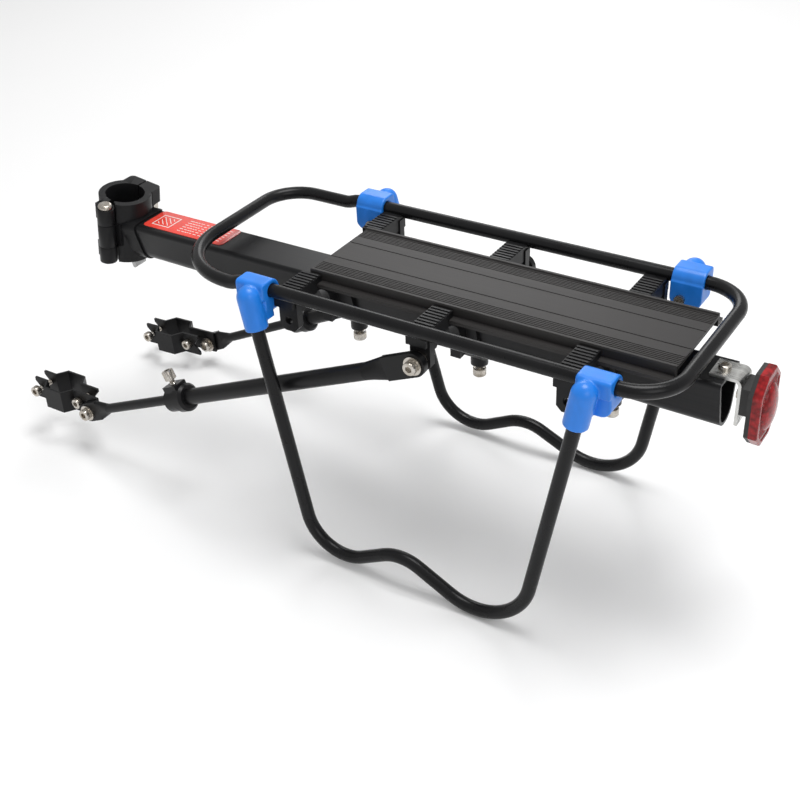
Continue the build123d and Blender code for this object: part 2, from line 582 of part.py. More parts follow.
def make_label():
    """Thin film on the beam's flat top."""
    label = block(LABEL_X0, LABEL_X1, LABEL_Y0, LABEL_Y1, BEAM_TOP, BEAM_TOP + LABEL_T)
    label = fillet(label.edges().filter_by(Axis.Z), LABEL_R)
    return label & block(LABEL_X0 - 1, LABEL_X1 + 1, -BEAM_HALF + BEAM_CORNER, BEAM_HALF - 0.5, -50, 50)


# ---- reflector ------------------------------------------------------------------------------
def make_reflector_bracket():
    """Bent strip: a tongue on the beam and a leg behind the reflector."""
    top = BEAM_TOP + SEAT + TONGUE_T
    outer = block(TONGUE_X0, LEG_X, -TONGUE_W / 2, TONGUE_W / 2, LEG_BOTTOM, top)
    outer = fillet(outer.edges().filter_by(Axis.Y).group_by(Axis.Z)[-1].sort_by(Axis.X)[-1:], LEG_BEND)
    inner = block(TONGUE_X0 - 1, LEG_X - TONGUE_T, -TONGUE_W, TONGUE_W, LEG_BOTTOM - 1, top - TONGUE_T)
    inner = fillet(inner.edges().filter_by(Axis.Y).group_by(Axis.Z)[-1].sort_by(Axis.X)[-1:], LEG_BEND - TONGUE_T)
    hole = rod_z(BEAM_TOP - 1, top + 1, TONGUE_SCREW_X, 0, M4_R + RUN)
    leg_hole = rod_x(LEG_X - 10, LEG_X + 10, 0, BOSS_Z, M4_R + RUN)
    return outer - inner - hole - leg_hole


def make_tongue_screw():
    """Domed screw through the strip's tongue."""
    top = BEAM_TOP + 2 * SEAT + TONGUE_T
    shank = rod_z(BEAM_TOP - 6, top, TONGUE_SCREW_X, 0, M4_R)
    head = rod_z(top, top + 3.0, TONGUE_SCREW_X, 0, M4_HEAD_R + 0.6)
    head = fillet(head.faces().sort_by(Axis.Z)[-1].edges(), 1.6)
    cross = Pos(TONGUE_SCREW_X, 0, top + 3.0) * (Box(5, 0.9, 2.2) + Box(0.9, 5, 2.2))
    return shank + head - cross


def reflector_face(grow=0.0):
    """Octagonal outline of the reflector, grown outward by grow."""
    w, h, c = REF_W / 2 + grow, REF_H / 2 + grow, REF_CUT
    pts = [(-w + c, -h), (w - c, -h), (w, -h + c), (w, h - c), (w - c, h), (-w + c, h), (-w, h - c), (-w, -h + c)]
    return face_yz([(y, z + REF_Z) for y, z in pts])


def make_reflector_housing():
    """Shallow octagonal tray with a square boss toward the strip."""
    shell = slab_x(reflector_face(), REF_X0, REF_X0 + 6.5)
    pocket = slab_x(reflector_face(-REF_RIM), REF_X0 + 2.5, REF_X0 + 8)
    boss = block(LEG_X + SEAT, REF_X0 + 0.5, -BOSS_W / 2, BOSS_W / 2, BOSS_Z - BOSS_H / 2, BOSS_Z + BOSS_H / 2)
    return shell - pocket + boss - rod_x(LEG_X - 1, REF_X0 + 1.5, 0, BOSS_Z, M4_R + SEAT)


def make_reflector_lens():
    """Lens: a plug in the tray and a sloped crown over its rim."""
    plug = slab_x(reflector_face(-REF_RIM - SEAT), REF_X0 + 2.5 + SEAT, REF_X0 + 6.5 + SEAT)
    face_a = reflector_face(-0.1)
    face_b = reflector_face(-5.0)
    start = REF_X0 + 6.5 + SEAT
    crown = loft([Pos(start, 0, 0) * face_a, Pos(REF_X1, 0, 0) * face_b])
    return plug + crown


def make_reflector_screw():
    """Screw from the strip into the housing's boss."""
    seat = LEG_X - TONGUE_T - SEAT
    shank = rod_x(seat, REF_X0 + 1.2, 0, BOSS_Z, M4_R)
    head = rod_x(seat - 2.6, seat, 0, BOSS_Z, M4_HEAD_R)
    cross = Pos(seat - 2.6, 0, BOSS_Z) * (Box(2.2, 5, 0.9) + Box(2.2, 0.9, 5))
    return shank + head - cross


# ---- stays ----------------------------------------------------------------------------------
def sign(side):
    """+1 on the right and -1 on the left."""
    return 1 if side == "right" else -1


def along_stay(shape, side):
    """Take a shape drawn along +X from the pivot to its place on one side."""
    return Pos(STAY_PIVOT[0], sign(side) * STAY_Y, STAY_PIVOT[1]) * Rot(0, 180 - STAY_ANGLE[side], 0) * shape


def make_stay_tube(side):
    """Outer tube of a stay, flattened to an eye at its pivot."""
    flat = STAY_EYE_T / 2
    tube = rod_x(STAY_FLAT_END, STAY_TUBE_END, 0, 0, STAY_R)
    eye = rod_y(-flat, flat, 0, 0, STAY_EYE_R) + block(0, STAY_FLAT_END - 18, -flat, flat, -STAY_EYE_R, STAY_EYE_R)
    start = Plane(origin=(STAY_FLAT_END - 18, 0, 0), x_dir=(0, 1, 0), z_dir=(1, 0, 0))
    end = Plane(origin=(STAY_FLAT_END, 0, 0), x_dir=(0, 1, 0), z_dir=(1, 0, 0))
    neck = loft([start * RectangleRounded(2 * flat, 2 * STAY_EYE_R, flat * 0.9), end * Circle(STAY_R)])
    solid = tube + eye + neck
    solid = solid - rod_x(STAY_FLAT_END + 18, STAY_TUBE_END + 1, 0, 0, STAY_BORE)
    solid = solid - rod_y(-flat - 1, flat + 1, 0, 0, M6_R + RUN)
    return along_stay(solid, side)


def make_collar(side):
    """Collar at the end of the tube, with a flat boss for the thumb screw."""
    body = rod_x(COLLAR_S0, COLLAR_S1, 0, 0, COLLAR_R)
    body = chamfer(body.edges().filter_by(GeomType.CIRCLE), 1.5)
    rim = rod_x(COLLAR_S0, COLLAR_S0 + 11, 0, 0, COLLAR_LIP)
    rim = chamfer(rim.edges().filter_by(GeomType.CIRCLE), 2)
    boss = block(THUMB_S - 7, THUMB_S + 7, -6.5, 6.5, -COLLAR_R - 3, 0)
    body = body + rim + boss
    body = body - rod_x(COLLAR_S0 - 1, STAY_TUBE_END + SEAT, 0, 0, STAY_R + SEAT)
    body = body - rod_x(COLLAR_S0 - 1, COLLAR_S1 + 1, 0, 0, STAY_BORE)
    body = body - rod_z(-COLLAR_R - 4, 0, THUMB_S, 0, THUMB_SHANK_R + SEAT)
    return along_stay(body, side)


def make_collar_screw(side):
    """Tall socket screw that locks the rod."""
    seat = -COLLAR_R - 3 - THUMB_STAND
    shank = rod_z(seat, -STAY_BORE - 0.1, THUMB_S, 0, THUMB_SHANK_R)
    head = rod_z(seat - THUMB_H, seat, THUMB_S, 0, THUMB_R)
    head = chamfer(head.edges().filter_by(GeomType.CIRCLE), 0.6)
    key = Pos(THUMB_S, 0, seat - THUMB_H) * extrude(RegularPolygon(THUMB_R * 0.55, 6), THUMB_H * 0.4)
    return along_stay(shank + head - key, side)


def make_rod(side):
    """Rod that slides in the tube, with a flattened eye at its end."""
    end = ROD_END[side]
    flat = ROD_EYE_T / 2
    rod = rod_x(ROD_IN, end - ROD_NECK + 2, 0, 0, ROD_R)
    round_end = Plane(origin=(end - ROD_NECK, 0, 0), x_dir=(0, 1, 0), z_dir=(1, 0, 0))
    flat_end = Plane(origin=(end - ROD_FLAT, 0, 0), x_dir=(0, 1, 0), z_dir=(1, 0, 0))
    neck = loft([round_end * Circle(ROD_R), flat_end * RectangleRounded(2 * flat, 2 * ROD_EYE_R, flat * 0.9)])
    eye = rod_y(-flat, flat, end, 0, ROD_EYE_R) + block(end - ROD_FLAT, end, -flat, flat, -ROD_EYE_R, ROD_EYE_R)
    solid = rod + neck + eye - rod_y(-flat - 1, flat + 1, end, 0, M6_R + RUN)
    return along_stay(solid, side)


def rod_end(side):
    """Where the rod's eye bolt is, as X and Z."""
    a = radians(STAY_ANGLE[side])
    return STAY_PIVOT[0] - ROD_END[side] * cos(a), STAY_PIVOT[1] - ROD_END[side] * sin(a)


def make_stay_bolt(side):
    """Pivot bolt of a stay, with its head outside."""
    s = sign(side)
    seat = s * (STAY_Y + STAY_EYE_T / 2 + SEAT + M6_WASHER_T + SEAT)
    return socket_screw_y(*STAY_PIVOT, seat, s * (TAB_Y0 - M6_NUT_H - 1.5), M6_R, M6_HEAD_R, STAY_HEAD_H)


def make_washer(x, z, y0, y1):
    """M6 washer between two Y positions."""
    return rod_y(y0, y1, x, z, M6_WASHER_R) - rod_y(y0 - 1, y1 + 1, x, z, M6_R + RUN)


def make_nut(x, z, y0, y1, r, hole_r):
    """Hexagonal nut between two Y positions."""
    return hex_y(y0, y1, x, z, r) - rod_y(y0 - 1, y1 + 1, x, z, hole_r)


def make_stay_washer(side):
    """Washer under the head of a stay's pivot bolt."""
    s = sign(side)
    inner = s * (STAY_Y + STAY_EYE_T / 2 + SEAT)
    y0, y1 = sorted((inner, inner + s * M6_WASHER_T))
    return make_washer(*STAY_PIVOT, y0, y1)


def make_stay_bush(side):
    """Plain bush between the tab and the stay's eye."""
    s = sign(side)
    y0, y1 = sorted((s * (TAB_Y1 + SEAT), s * (STAY_Y - STAY_EYE_T / 2 - GAP)))
    return rod_y(y0, y1, *STAY_PIVOT, BUSH_R) - rod_y(y0 - 1, y1 + 1, *STAY_PIVOT, M6_R + RUN)


def make_stay_nut(side):
    """Nut in the pocket behind a bracket's tab."""
    s = sign(side)
    inner = s * (TAB_Y0 - SEAT)
    y0, y1 = sorted((inner, inner - s * M6_NUT_H))
    return make_nut(*STAY_PIVOT, y0, y1, M6_NUT_R, M6_R)


# ---- rod end bolts and seatstay clamps ------------------------------------------------------
def rod_end_seats(side):
    """Y of the washer's seat and of the nut's seat; the bolt's head faces left on both sides."""
    half_eye = ROD_EYE_T / 2
    ear = SHELL_T + 2 * GAP
    if side == "left":
        return -STAY_Y - half_eye - SEAT, -STAY_Y + half_eye + ear
    return STAY_Y - half_eye - ear, STAY_Y + half_eye + SEAT


def make_rod_end_bolt(side):
    """Bolt through the rod's eye and the outer shell."""
    x, z = rod_end(side)
    low, high = rod_end_seats(side)
    return socket_screw_y(x, z, low - M6_WASHER_T - SEAT, high + M6_NUT_H + 1, M6_R, M6_HEAD_R, STAY_HEAD_H)


def make_rod_end_washer(side):
    """Washer under that bolt's head."""
    low = rod_end_seats(side)[0]
    return make_washer(*rod_end(side), low - M6_WASHER_T, low)


def make_rod_end_nut(side):
    """Nut of that bolt."""
    high = rod_end_seats(side)[1]
    return make_nut(*rod_end(side), high, high + M6_NUT_H, M6_NUT_R, M6_R)


def shell_outline(rear):
    """Plan of one half-shell about the clamp's middle: ears at both ends, bulging to +Y."""
    b, f, w, p, t = SHELL_BULGE, SHELL_FLAT, SHELL_WAIST, SHELL_PART, SHELL_T
    inside = [(-SHELL_FRONT, p), (-w, p), (-f, b), (f, b), (w, p), (rear, p)]
    grow = t * SHELL_CORNER
    outside = [(rear, p + t), (w + grow, p + t), (f + grow, b + t), (-f - grow, b + t), (-w - grow, p + t),
               (-SHELL_FRONT, p + t)]
    return make_face(Polyline(*inside, *outside, close=True))


def notch(x_mouth, x_root, half):
    """Open V in an ear, from its end at x_mouth to x_root."""
    cut = make_face(Polyline((x_mouth, half), (x_root, 0), (x_mouth, -half), close=True))
    return extrude(Plane.XZ * cut, 40, both=True)


def place_clamp(shape, side):
    """From the clamp's own frame to the rod's end, turned about the pivot bolt."""
    x, z = rod_end(side)
    plane = sign(side) * (STAY_Y - ROD_EYE_T / 2 - GAP - SHELL_T - SHELL_PART)
    return Pos(x, plane, z) * Rot(0, -SHELL_TILT[side], 0) * Pos(-SHELL_CENTRE, 0, SHELL_RAISE) * shape


def make_shell(side, outer):
    """Outer shells carry the pivot bolt; inner shells end short of it."""
    rear = SHELL_REAR_OUTER if outer else SHELL_REAR_INNER
    shell = extrude(shell_outline(rear), SHELL_H / 2, both=True)
    shell = shell - notch(-SHELL_FRONT - 0.1, -SHELL_FRONT + SHELL_NOTCH, SHELL_H * 0.35)
    for x in (SHELL_SCREW_FRONT, SHELL_SCREW_REAR):
        shell = shell - rod_y(-20, 20, x, 0, M5_R + RUN)
    if outer:
        shell = shell - rod_y(-20, 20, SHELL_CENTRE, -SHELL_RAISE, M6_R + RUN)
    else:
        shell = shell - notch(rear + 0.1, rear - SHELL_NOTCH, SHELL_H * 0.35)
    if outer != (side == "right"):
        shell = shell.mirror(Plane.XZ)
    return place_clamp(shell, side)


def make_shell_screws(side):
    """The two screws that draw a clamp's shells together."""
    ear = SHELL_PART + SHELL_T + SEAT
    tip = ear + M5_NUT_H + 1.5
    screws = []
    for x, stand in ((SHELL_SCREW_FRONT, SHELL_SCREW_STAND), (SHELL_SCREW_REAR, 0.0)):
        screw = socket_screw_y(x, 0, -ear - stand, tip, M5_R, M5_HEAD_R, M5_HEAD_H)
        screws.append(place_clamp(screw, side))
    return Compound(children=screws)


def make_shell_nuts(side):
    """The nuts of those screws."""
    ear = SHELL_PART + SHELL_T + SEAT
    nuts = [make_nut(x, 0, ear, ear + M5_NUT_H, M5_NUT_R, M5_R) for x in (SHELL_SCREW_FRONT, SHELL_SCREW_REAR)]
    return Compound(children=[place_clamp(nut, side) for nut in nuts])


def main():
    """Build every part and write it to its own STEP file."""
    os.makedirs("parts", exist_ok=True)
    nodes = {
        "main_beam": make_beam(),
        "deck_plate": make_deck(),
        "hoop_rail": make_hoop(),
        "clamp_body": make_clamp_body(),
        "clamp_jaw": make_clamp_jaw(),
        "clamp_hinge_pin": make_hinge_pin(),
        "clamp_bolt": make_clamp_bolt(),
        "clamp_nut": make_clamp_nut(),
        "quick_release_lever": make_lever(),
        "lever_pin": make_lever_pin(),
        "beam_label": make_label(),
        "reflector_bracket": make_reflector_bracket(),
        "reflector_bracket_screw": make_tongue_screw(),
        "reflector_housing": make_reflector_housing(),
        "reflector_lens": make_reflector_lens(),
        "reflector_screw": make_reflector_screw(),
        "bracket_bolts": Compound(children=[make_bracket_bolt(x) for x in BAND_XS]),
    }
    for name, station, band_x in zip(("front", "middle", "rear"), STATIONS, BAND_XS):
        nodes["cross_bracket_" + name] = make_bracket(station, band_x)
    guard_right = make_guard()
    nodes["side_guard_right"] = guard_right
    nodes["side_guard_left"] = guard_right.mirror(Plane.XZ)
    screws = []
    for place, front in (("front", True), ("rear", False)):
        clip = make_clip(front)
        nodes["guard_clip_%s_right" % place] = clip
        nodes["guard_clip_%s_left" % place] = clip.mirror(Plane.XZ)
        screws += both_sides(make_clip_screw(front))
    nodes["guard_clip_screws"] = Compound(children=screws)
    sides = ("left", "right")
    nodes["stay_pivot_bolts"] = Compound(children=[make_stay_bolt(s) for s in sides])
    nodes["stay_pivot_washers"] = Compound(children=[make_stay_washer(s) for s in sides])
    nodes["stay_pivot_bushes"] = Compound(children=[make_stay_bush(s) for s in sides])
    nodes["stay_pivot_nuts"] = Compound(children=[make_stay_nut(s) for s in sides])
    for side in sides:
        nodes["stay_tube_" + side] = make_stay_tube(side)
        nodes["stay_collar_" + side] = make_collar(side)
        nodes["collar_screw_" + side] = make_collar_screw(side)
        nodes["stay_rod_" + side] = make_rod(side)
        nodes["rod_end_bolt_" + side] = make_rod_end_bolt(side)
        nodes["rod_end_washer_" + side] = make_rod_end_washer(side)
        nodes["rod_end_nut_" + side] = make_rod_end_nut(side)
        nodes["seatstay_shell_outer_" + side] = make_shell(side, True)
        nodes["seatstay_shell_inner_" + side] = make_shell(side, False)
        nodes["seatstay_screws_" + side] = make_shell_screws(side)
        nodes["seatstay_nuts_" + side] = make_shell_nuts(side)
    for name, shape in nodes.items():
        export_step(shape, "parts/%s.step" % name)


main()
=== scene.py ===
"""Seatpost bicycle rack: finishes, screws, clips, label, reflector and stage around the CAD frame.

The rack's own frame is in metres: +X rearward, +Y to the bicycle's right, +Z up, with the origin
on the axis of the seatpost clamp. A constant is in millimetres unless it is a multiple of MM.
"""

import json
from collections import namedtuple
from math import cos, pi, radians, sin

import bmesh
import bpy
from mathutils import Matrix, Vector


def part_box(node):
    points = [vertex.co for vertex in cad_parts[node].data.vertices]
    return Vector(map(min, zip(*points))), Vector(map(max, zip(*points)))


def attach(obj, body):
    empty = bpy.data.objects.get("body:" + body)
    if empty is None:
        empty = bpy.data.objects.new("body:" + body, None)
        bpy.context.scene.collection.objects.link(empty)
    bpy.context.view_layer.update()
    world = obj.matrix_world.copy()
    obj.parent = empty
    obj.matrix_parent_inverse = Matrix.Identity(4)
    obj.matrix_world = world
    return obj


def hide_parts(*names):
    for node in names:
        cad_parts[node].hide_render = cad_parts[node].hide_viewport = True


bl_info = {
    "name": "Seatpost Rack",
    "version": (1, 0, 0),
    "blender": (4, 5, 0),
    "location": "View3D > Sidebar > Rack",
    "description": "Finishes and details a seatpost bicycle rack and stands it on a pale floor",
    "category": "Object",
}

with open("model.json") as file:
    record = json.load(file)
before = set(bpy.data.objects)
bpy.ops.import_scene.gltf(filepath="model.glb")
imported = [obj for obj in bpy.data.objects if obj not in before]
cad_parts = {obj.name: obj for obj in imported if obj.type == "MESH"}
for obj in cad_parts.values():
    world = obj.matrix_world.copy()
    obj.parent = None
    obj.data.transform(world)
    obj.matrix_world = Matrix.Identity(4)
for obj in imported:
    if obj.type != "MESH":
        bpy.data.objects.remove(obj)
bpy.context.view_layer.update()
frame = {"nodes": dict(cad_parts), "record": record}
SLOTS = {part["node"]: part["material_slot"] for part in frame["record"]["subparts"]}
COLOURS = {entry["slot"]: tuple(entry["base_color"]) for entry in frame["record"]["materials"]}
BODIES = {
    node: body
    for body, nodes in frame["record"]["behaviour"]["bodies"].items()
    for node in nodes
}

MM = 0.001
SIDES = {"left": -1, "right": 1}

# places repeated from the CAD
BAND_XS = (231.0, 336.5, 442.0)     # middles of the cross brackets along the beam
BEAM_LOW = (23.0, -25.5, 522.0, -31.5)      # X and Z of the beam's underside at both ends
LUG_DROP, LUG_STAND = 10.0, 4.0     # lug below the beam, and screw head below the lug
STAY_PIVOT = (331.0, 2.0)           # X and Z of a stay's upper bolt
STAY_Y = 79.5                       # middle plane of a stay
STAY_ANGLE = {"left": 23.9, "right": 26.2}  # degrees below level
ROD_END = {"left": 363.0, "right": 367.0}   # from the upper bolt to the rod's bolt
STAY_HALF_EYE = 2.5
CLAMP_EAR = 2.8                     # shell wall and its two gaps
WASHER = 1.24                       # washer and its two gaps
BOLT_GAP = 0.02
CLAMP_MIDDLE = (-36.0, 3.5)         # from the rod's bolt to the middle of a seatstay clamp
CLAMP_TILT = {"left": 0.0, "right": 3.0}    # degrees
CLAMP_PLANE = 70.1                  # Y of the plane between a clamp's shells
CLAMP_SEAT = 6.52                   # from that plane to the face under a screw
CLAMP_SCREWS = ((-24.0, 3.0), (21.5, 0.0))  # place along the clamp, and height off its face
THUMB_S, THUMB_SEAT = 243.5, -17.2  # thumb screw's seat along its stay and across it

# modelled screws
ScrewSize = namedtuple("ScrewSize", "head_radius head_height shank_radius length plain")
BRACKET_BOLT = ScrewSize(5.0, 6.0, 2.9, 13.6, 0.8)
PIVOT_BOLT = ScrewSize(5.0, 4.6, 2.9, 23.0, 14.0)
ROD_BOLT = ScrewSize(5.0, 4.6, 2.9, 14.8, 8.0)
THUMB_SCREW = ScrewSize(4.7, 8.0, 2.4, 12.9, 0.8)
CLAMP_SCREW = ScrewSize(4.6, 5.0, 2.4, 18.5, 1.0)
SHANK_SIDES = 24
HEAD_CHAMFER, KEY_SIZE = 0.07, 0.55     # parts of the head's radius
KNURL_INSET = 0.18                      # part of a ridge's width
THREAD_ROOT = 0.86                      # part of the shank's radius

# broken edges
BRACKET_EDGE, CLAMP_EDGE = 0.3 * MM, 0.6 * MM
EDGE_ANGLE = radians(32.0)
MERGE = 0.002 * MM

# label
LABEL_CORNER, LABEL_ROUND = 4.0 * MM, 0.12 * MM
LABEL_MARGIN = 6.0 * MM
ROW_PITCH, ROW_HEIGHT, ROW_EDGE = 3.6 * MM, 0.8 * MM, 3.0 * MM
ROWS_START = 26.0 * MM
PATCH_LENGTH, PATCH_LINE = 18.0 * MM, 0.9 * MM
PATCH_LOW, PATCH_HIGH = 5.0 * MM, 6.0 * MM
STROKE_PITCH, STROKE_EDGE = 4.5 * MM, 3.0 * MM
PRINT_COLOUR = (0.83, 0.78, 0.74)

# reflector
LENS_BULGE, LENS_DEPTH, LENS_WRAP = 4.5 * MM, 10.5 * MM, 0.3 * MM
LENS_CORNER, LENS_ROUND = 11.0 * MM, 1.4 * MM
LENS_RIM, LENS_STEP = 1.6 * MM, 0.6 * MM
FIELD_MARGIN, PRISM_HEIGHT = 6.8 * MM, 0.7 * MM
BULGE_HALF_HEIGHT, BULGE_HALF_WIDTH, BULGE_SINK = 17.5 * MM, 12.5 * MM, 0.5 * MM

# stage
FLOOR_GAP = 0.2 * MM
FLOOR_MIDDLE = (0.25, 0.0)
SKY_STRENGTH = 0.55
LAMPS = (                           # name, watts, width, place and target in metres
    ("overhead_softbox", 27.0, 1.0, (0.45, 0.25, 1.9), (0.3, 0.0, 0.0)),
    ("rear_softbox", 6.0, 0.8, (-0.6, 1.7, 1.0), (0.25, 0.0, 0.0)),
    ("side_softbox", 5.0, 0.9, (1.6, -0.9, 0.9), (0.25, 0.0, -0.05)),
)
CAMERA_PLACE = (0.7267, -0.69697, 0.4634)   # metres
CAMERA_YAW, CAMERA_FALL, CAMERA_ROLL = radians(33.52), radians(33.75), radians(-2.78)
CAMERA_SENSOR, CAMERA_LENS = 36.0, 57.8
CAMERA_REACH = 50.0                 # metres

# shading
GLOSS = 0.22                        # specular level of the black coats
NOISE_LOW, NOISE_HIGH = 0.25, 0.75  # where nearly all of a noise's values lie
ALONG = 0.9                         # least cosine for a normal that lies along an axis


# ---- selecting and modelling ------------------------------------------------------------------
def clear():
    """Leave nothing selected and no object active in edit mode."""
    if bpy.context.mode != "OBJECT":
        bpy.ops.object.mode_set(mode="OBJECT")
    bpy.ops.object.select_all(action="DESELECT")


def hold(*pieces):
    """Select these pieces only; the first one is active."""
    clear()
    for piece in pieces:
        piece.select_set(True)
    bpy.context.view_layer.objects.active = pieces[0]


def edit(piece):
    """Open a piece's mesh for editing, with all of it selected."""
    hold(piece)
    bpy.ops.object.mode_set(mode="EDIT")
    bpy.ops.mesh.select_mode(type="FACE")
    bpy.ops.mesh.select_all(action="SELECT")


def pick(test):
    """Select the faces of the open mesh whose middle and normal pass the test."""
    bpy.ops.mesh.select_all(action="DESELECT")
    mesh = bmesh.from_edit_mesh(bpy.context.edit_object.data)
    for face in mesh.faces:
        face.select_set(bool(test(face.calc_center_median(), face.normal)))
    bmesh.update_edit_mesh(bpy.context.edit_object.data)


def pick_edges(test):
    """Select the edges of the open mesh whose two ends pass the test."""
    bpy.ops.mesh.select_mode(type="EDGE")
    bpy.ops.mesh.select_all(action="DESELECT")
    mesh = bmesh.from_edit_mesh(bpy.context.edit_object.data)
    for edge in mesh.edges:
        edge.select_set(bool(test(edge.verts[0].co, edge.verts[1].co)))
    bmesh.update_edit_mesh(bpy.context.edit_object.data)


def push(offset):
    """Extrude the selected faces by an offset."""
    bpy.ops.mesh.extrude_region_move(TRANSFORM_OT_translate={"value": tuple(offset)})


def scale_to(factors, middle):
    """Scale what is selected about a point."""
    bpy.ops.transform.resize(value=factors, center_override=tuple(middle))


def apply_modifier(piece, kind, **settings):
    """Add one modifier to a piece, set it and apply it."""
    hold(piece)
    bpy.ops.object.modifier_add(type=kind)
    modifier = piece.modifiers[-1]
    for name, value in settings.items():
        setattr(modifier, name, value)
    bpy.ops.object.modifier_apply(modifier=modifier.name)


def cylinder(name, radius, height, middle, sides):
    """Upright cylinder with closed ends."""
    clear()
    bpy.ops.mesh.primitive_cylinder_add(
        vertices=sides, radius=radius, depth=height, location=middle)
    piece = bpy.context.active_object
    piece.name = name
    hold(piece)
    bpy.ops.object.transform_apply(location=True, rotation=True, scale=True)
    return piece


def box(name, low, high):
    """Box between two corners."""
    clear()
    low, high = Vector(low), Vector(high)
    bpy.ops.mesh.primitive_cube_add(size=1.0, location=(low + high) / 2, scale=high - low)
    piece = bpy.context.active_object
    piece.name = name
    hold(piece)
    bpy.ops.object.transform_apply(location=True, rotation=True, scale=True)
    return piece


def cut(piece, tool):
    """Take one closed mesh out of another."""
    apply_modifier(piece, "BOOLEAN", operation="DIFFERENCE", object=tool, solver="EXACT")
    hold(tool)
    bpy.ops.object.delete()


def joined(name, pieces):
    """Several meshes as one piece."""
    hold(*pieces)
    if len(pieces) > 1:
        bpy.ops.object.join()
    pieces[0].name = name
    return pieces[0]


def placed_copy(model, name, place):
    """Copy of a modelled piece with its own mesh, its place taken into the mesh."""
    hold(model)
    bpy.ops.object.duplicate()
    piece = bpy.context.active_object
    piece.name = name
    piece.matrix_world = place
    bpy.ops.object.transform_apply(location=True, rotation=True, scale=True)
    return piece


def copy_of_node(node, name):
    """Merged copy of a CAD node's mesh as a new piece."""
    piece = bpy.data.objects.new(name, frame["nodes"][node].data.copy())
    bpy.context.scene.collection.objects.link(piece)
    piece.data.materials.clear()
    edit(piece)
    bpy.ops.mesh.remove_doubles(threshold=MERGE / 2)
    clear()
    return piece


def settle(piece, slot, *nodes, angle=30.0):
    """Shade, finish and hand over a new piece that stands for CAD nodes."""
    hold(piece)
    bpy.ops.object.shade_smooth_by_angle(angle=radians(angle))
    piece.data.materials.clear()
    piece.data.materials.append(finish(slot))
    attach(piece, BODIES[nodes[0]])
    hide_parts(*nodes)
    clear()


def coat(*nodes):
    """Give CAD nodes the finish of their own material slot."""
    for node in nodes:
        piece = frame["nodes"][node]
        material = finish(SLOTS[node])
        if not piece.material_slots:
            piece.data.materials.append(material)
        for entry in piece.material_slots:
            entry.material = material


def round_edges(width, *nodes):
    """Break the sharp edges of CAD nodes with live modifiers; their meshes stay as they are."""
    for node in nodes:
        piece = frame["nodes"][node]
        weld = piece.modifiers.new("merge_triangles", "WELD")
        weld.merge_threshold = MERGE
        edge = piece.modifiers.new("broken_edges", "BEVEL")
        edge.width = width
        edge.segments = 2
        edge.limit_method = "ANGLE"
        edge.angle_limit = EDGE_ANGLE
        edge.use_clamp_overlap = True
        edge.harden_normals = False


# ---- places -----------------------------------------------------------------------------------
def facing(point, direction):
    """Place whose local +Z points along a direction, at a point in millimetres."""
    turn = Vector((0, 0, 1)).rotation_difference(Vector(direction).normalized())
    return Matrix.Translation(Vector(point) * MM) @ turn.to_matrix().to_4x4()


def beam_low(x):
    """Height of the beam's underside at one X position, in millimetres."""
    x0, low0, x1, low1 = BEAM_LOW
    return low0 + (low1 - low0) * (x - x0) / (x1 - x0)


def rod_end(side):
    """X and Z of the bolt that joins a rod to its seatstay clamp, in millimetres."""
    a = radians(STAY_ANGLE[side])
    return STAY_PIVOT[0] - ROD_END[side] * cos(a), STAY_PIVOT[1] - ROD_END[side] * sin(a)


def along_stay(side, along, rise):
    """Point of a stay's middle plane, in millimetres: along it from its pivot, and across it."""
    a = radians(STAY_ANGLE[side])
    x = STAY_PIVOT[0] - along * cos(a) + rise * sin(a)
    z = STAY_PIVOT[1] - along * sin(a) - rise * cos(a)
    return Vector((x, SIDES[side] * STAY_Y, z))


def in_clamp(side, x, y):
    """Point of a seatstay clamp, in millimetres, from its own middle."""
    tilt = radians(CLAMP_TILT[side])
    px, pz = CLAMP_MIDDLE[0] + x, CLAMP_MIDDLE[1]
    end_x, end_z = rod_end(side)
    return Vector((
        end_x + px * cos(tilt) - pz * sin(tilt),
        SIDES[side] * CLAMP_PLANE + y,
        end_z + px * sin(tilt) + pz * cos(tilt),
    ))


# ---- shader building --------------------------------------------------------------------------
class Term:
    """Shader value that takes part in Python arithmetic; each operation adds a Math node."""

    def __init__(self, recipe, socket):
        self.recipe = recipe
        self.socket = socket

    def maths(self, operation, first, second):
        """The outcome of one Math node."""
        return self.recipe.node("ShaderNodeMath", {"operation": operation}, {0: first, 1: second})

    def __add__(self, other):
        return self.maths("ADD", self, other)

    def __radd__(self, other):
        return self.maths("ADD", other, self)

    def __sub__(self, other):
        return self.maths("SUBTRACT", self, other)

    def __rsub__(self, other):
        return self.maths("SUBTRACT", other, self)

    def __mul__(self, other):
        return self.maths("MULTIPLY", self, other)

    def __rmul__(self, other):
        return self.maths("MULTIPLY", other, self)

    def __mod__(self, other):
        return self.maths("FLOORED_MODULO", self, other)

    def __gt__(self, other):
        return self.maths("GREATER_THAN", self, other)

    def __lt__(self, other):
        return self.maths("LESS_THAN", self, other)


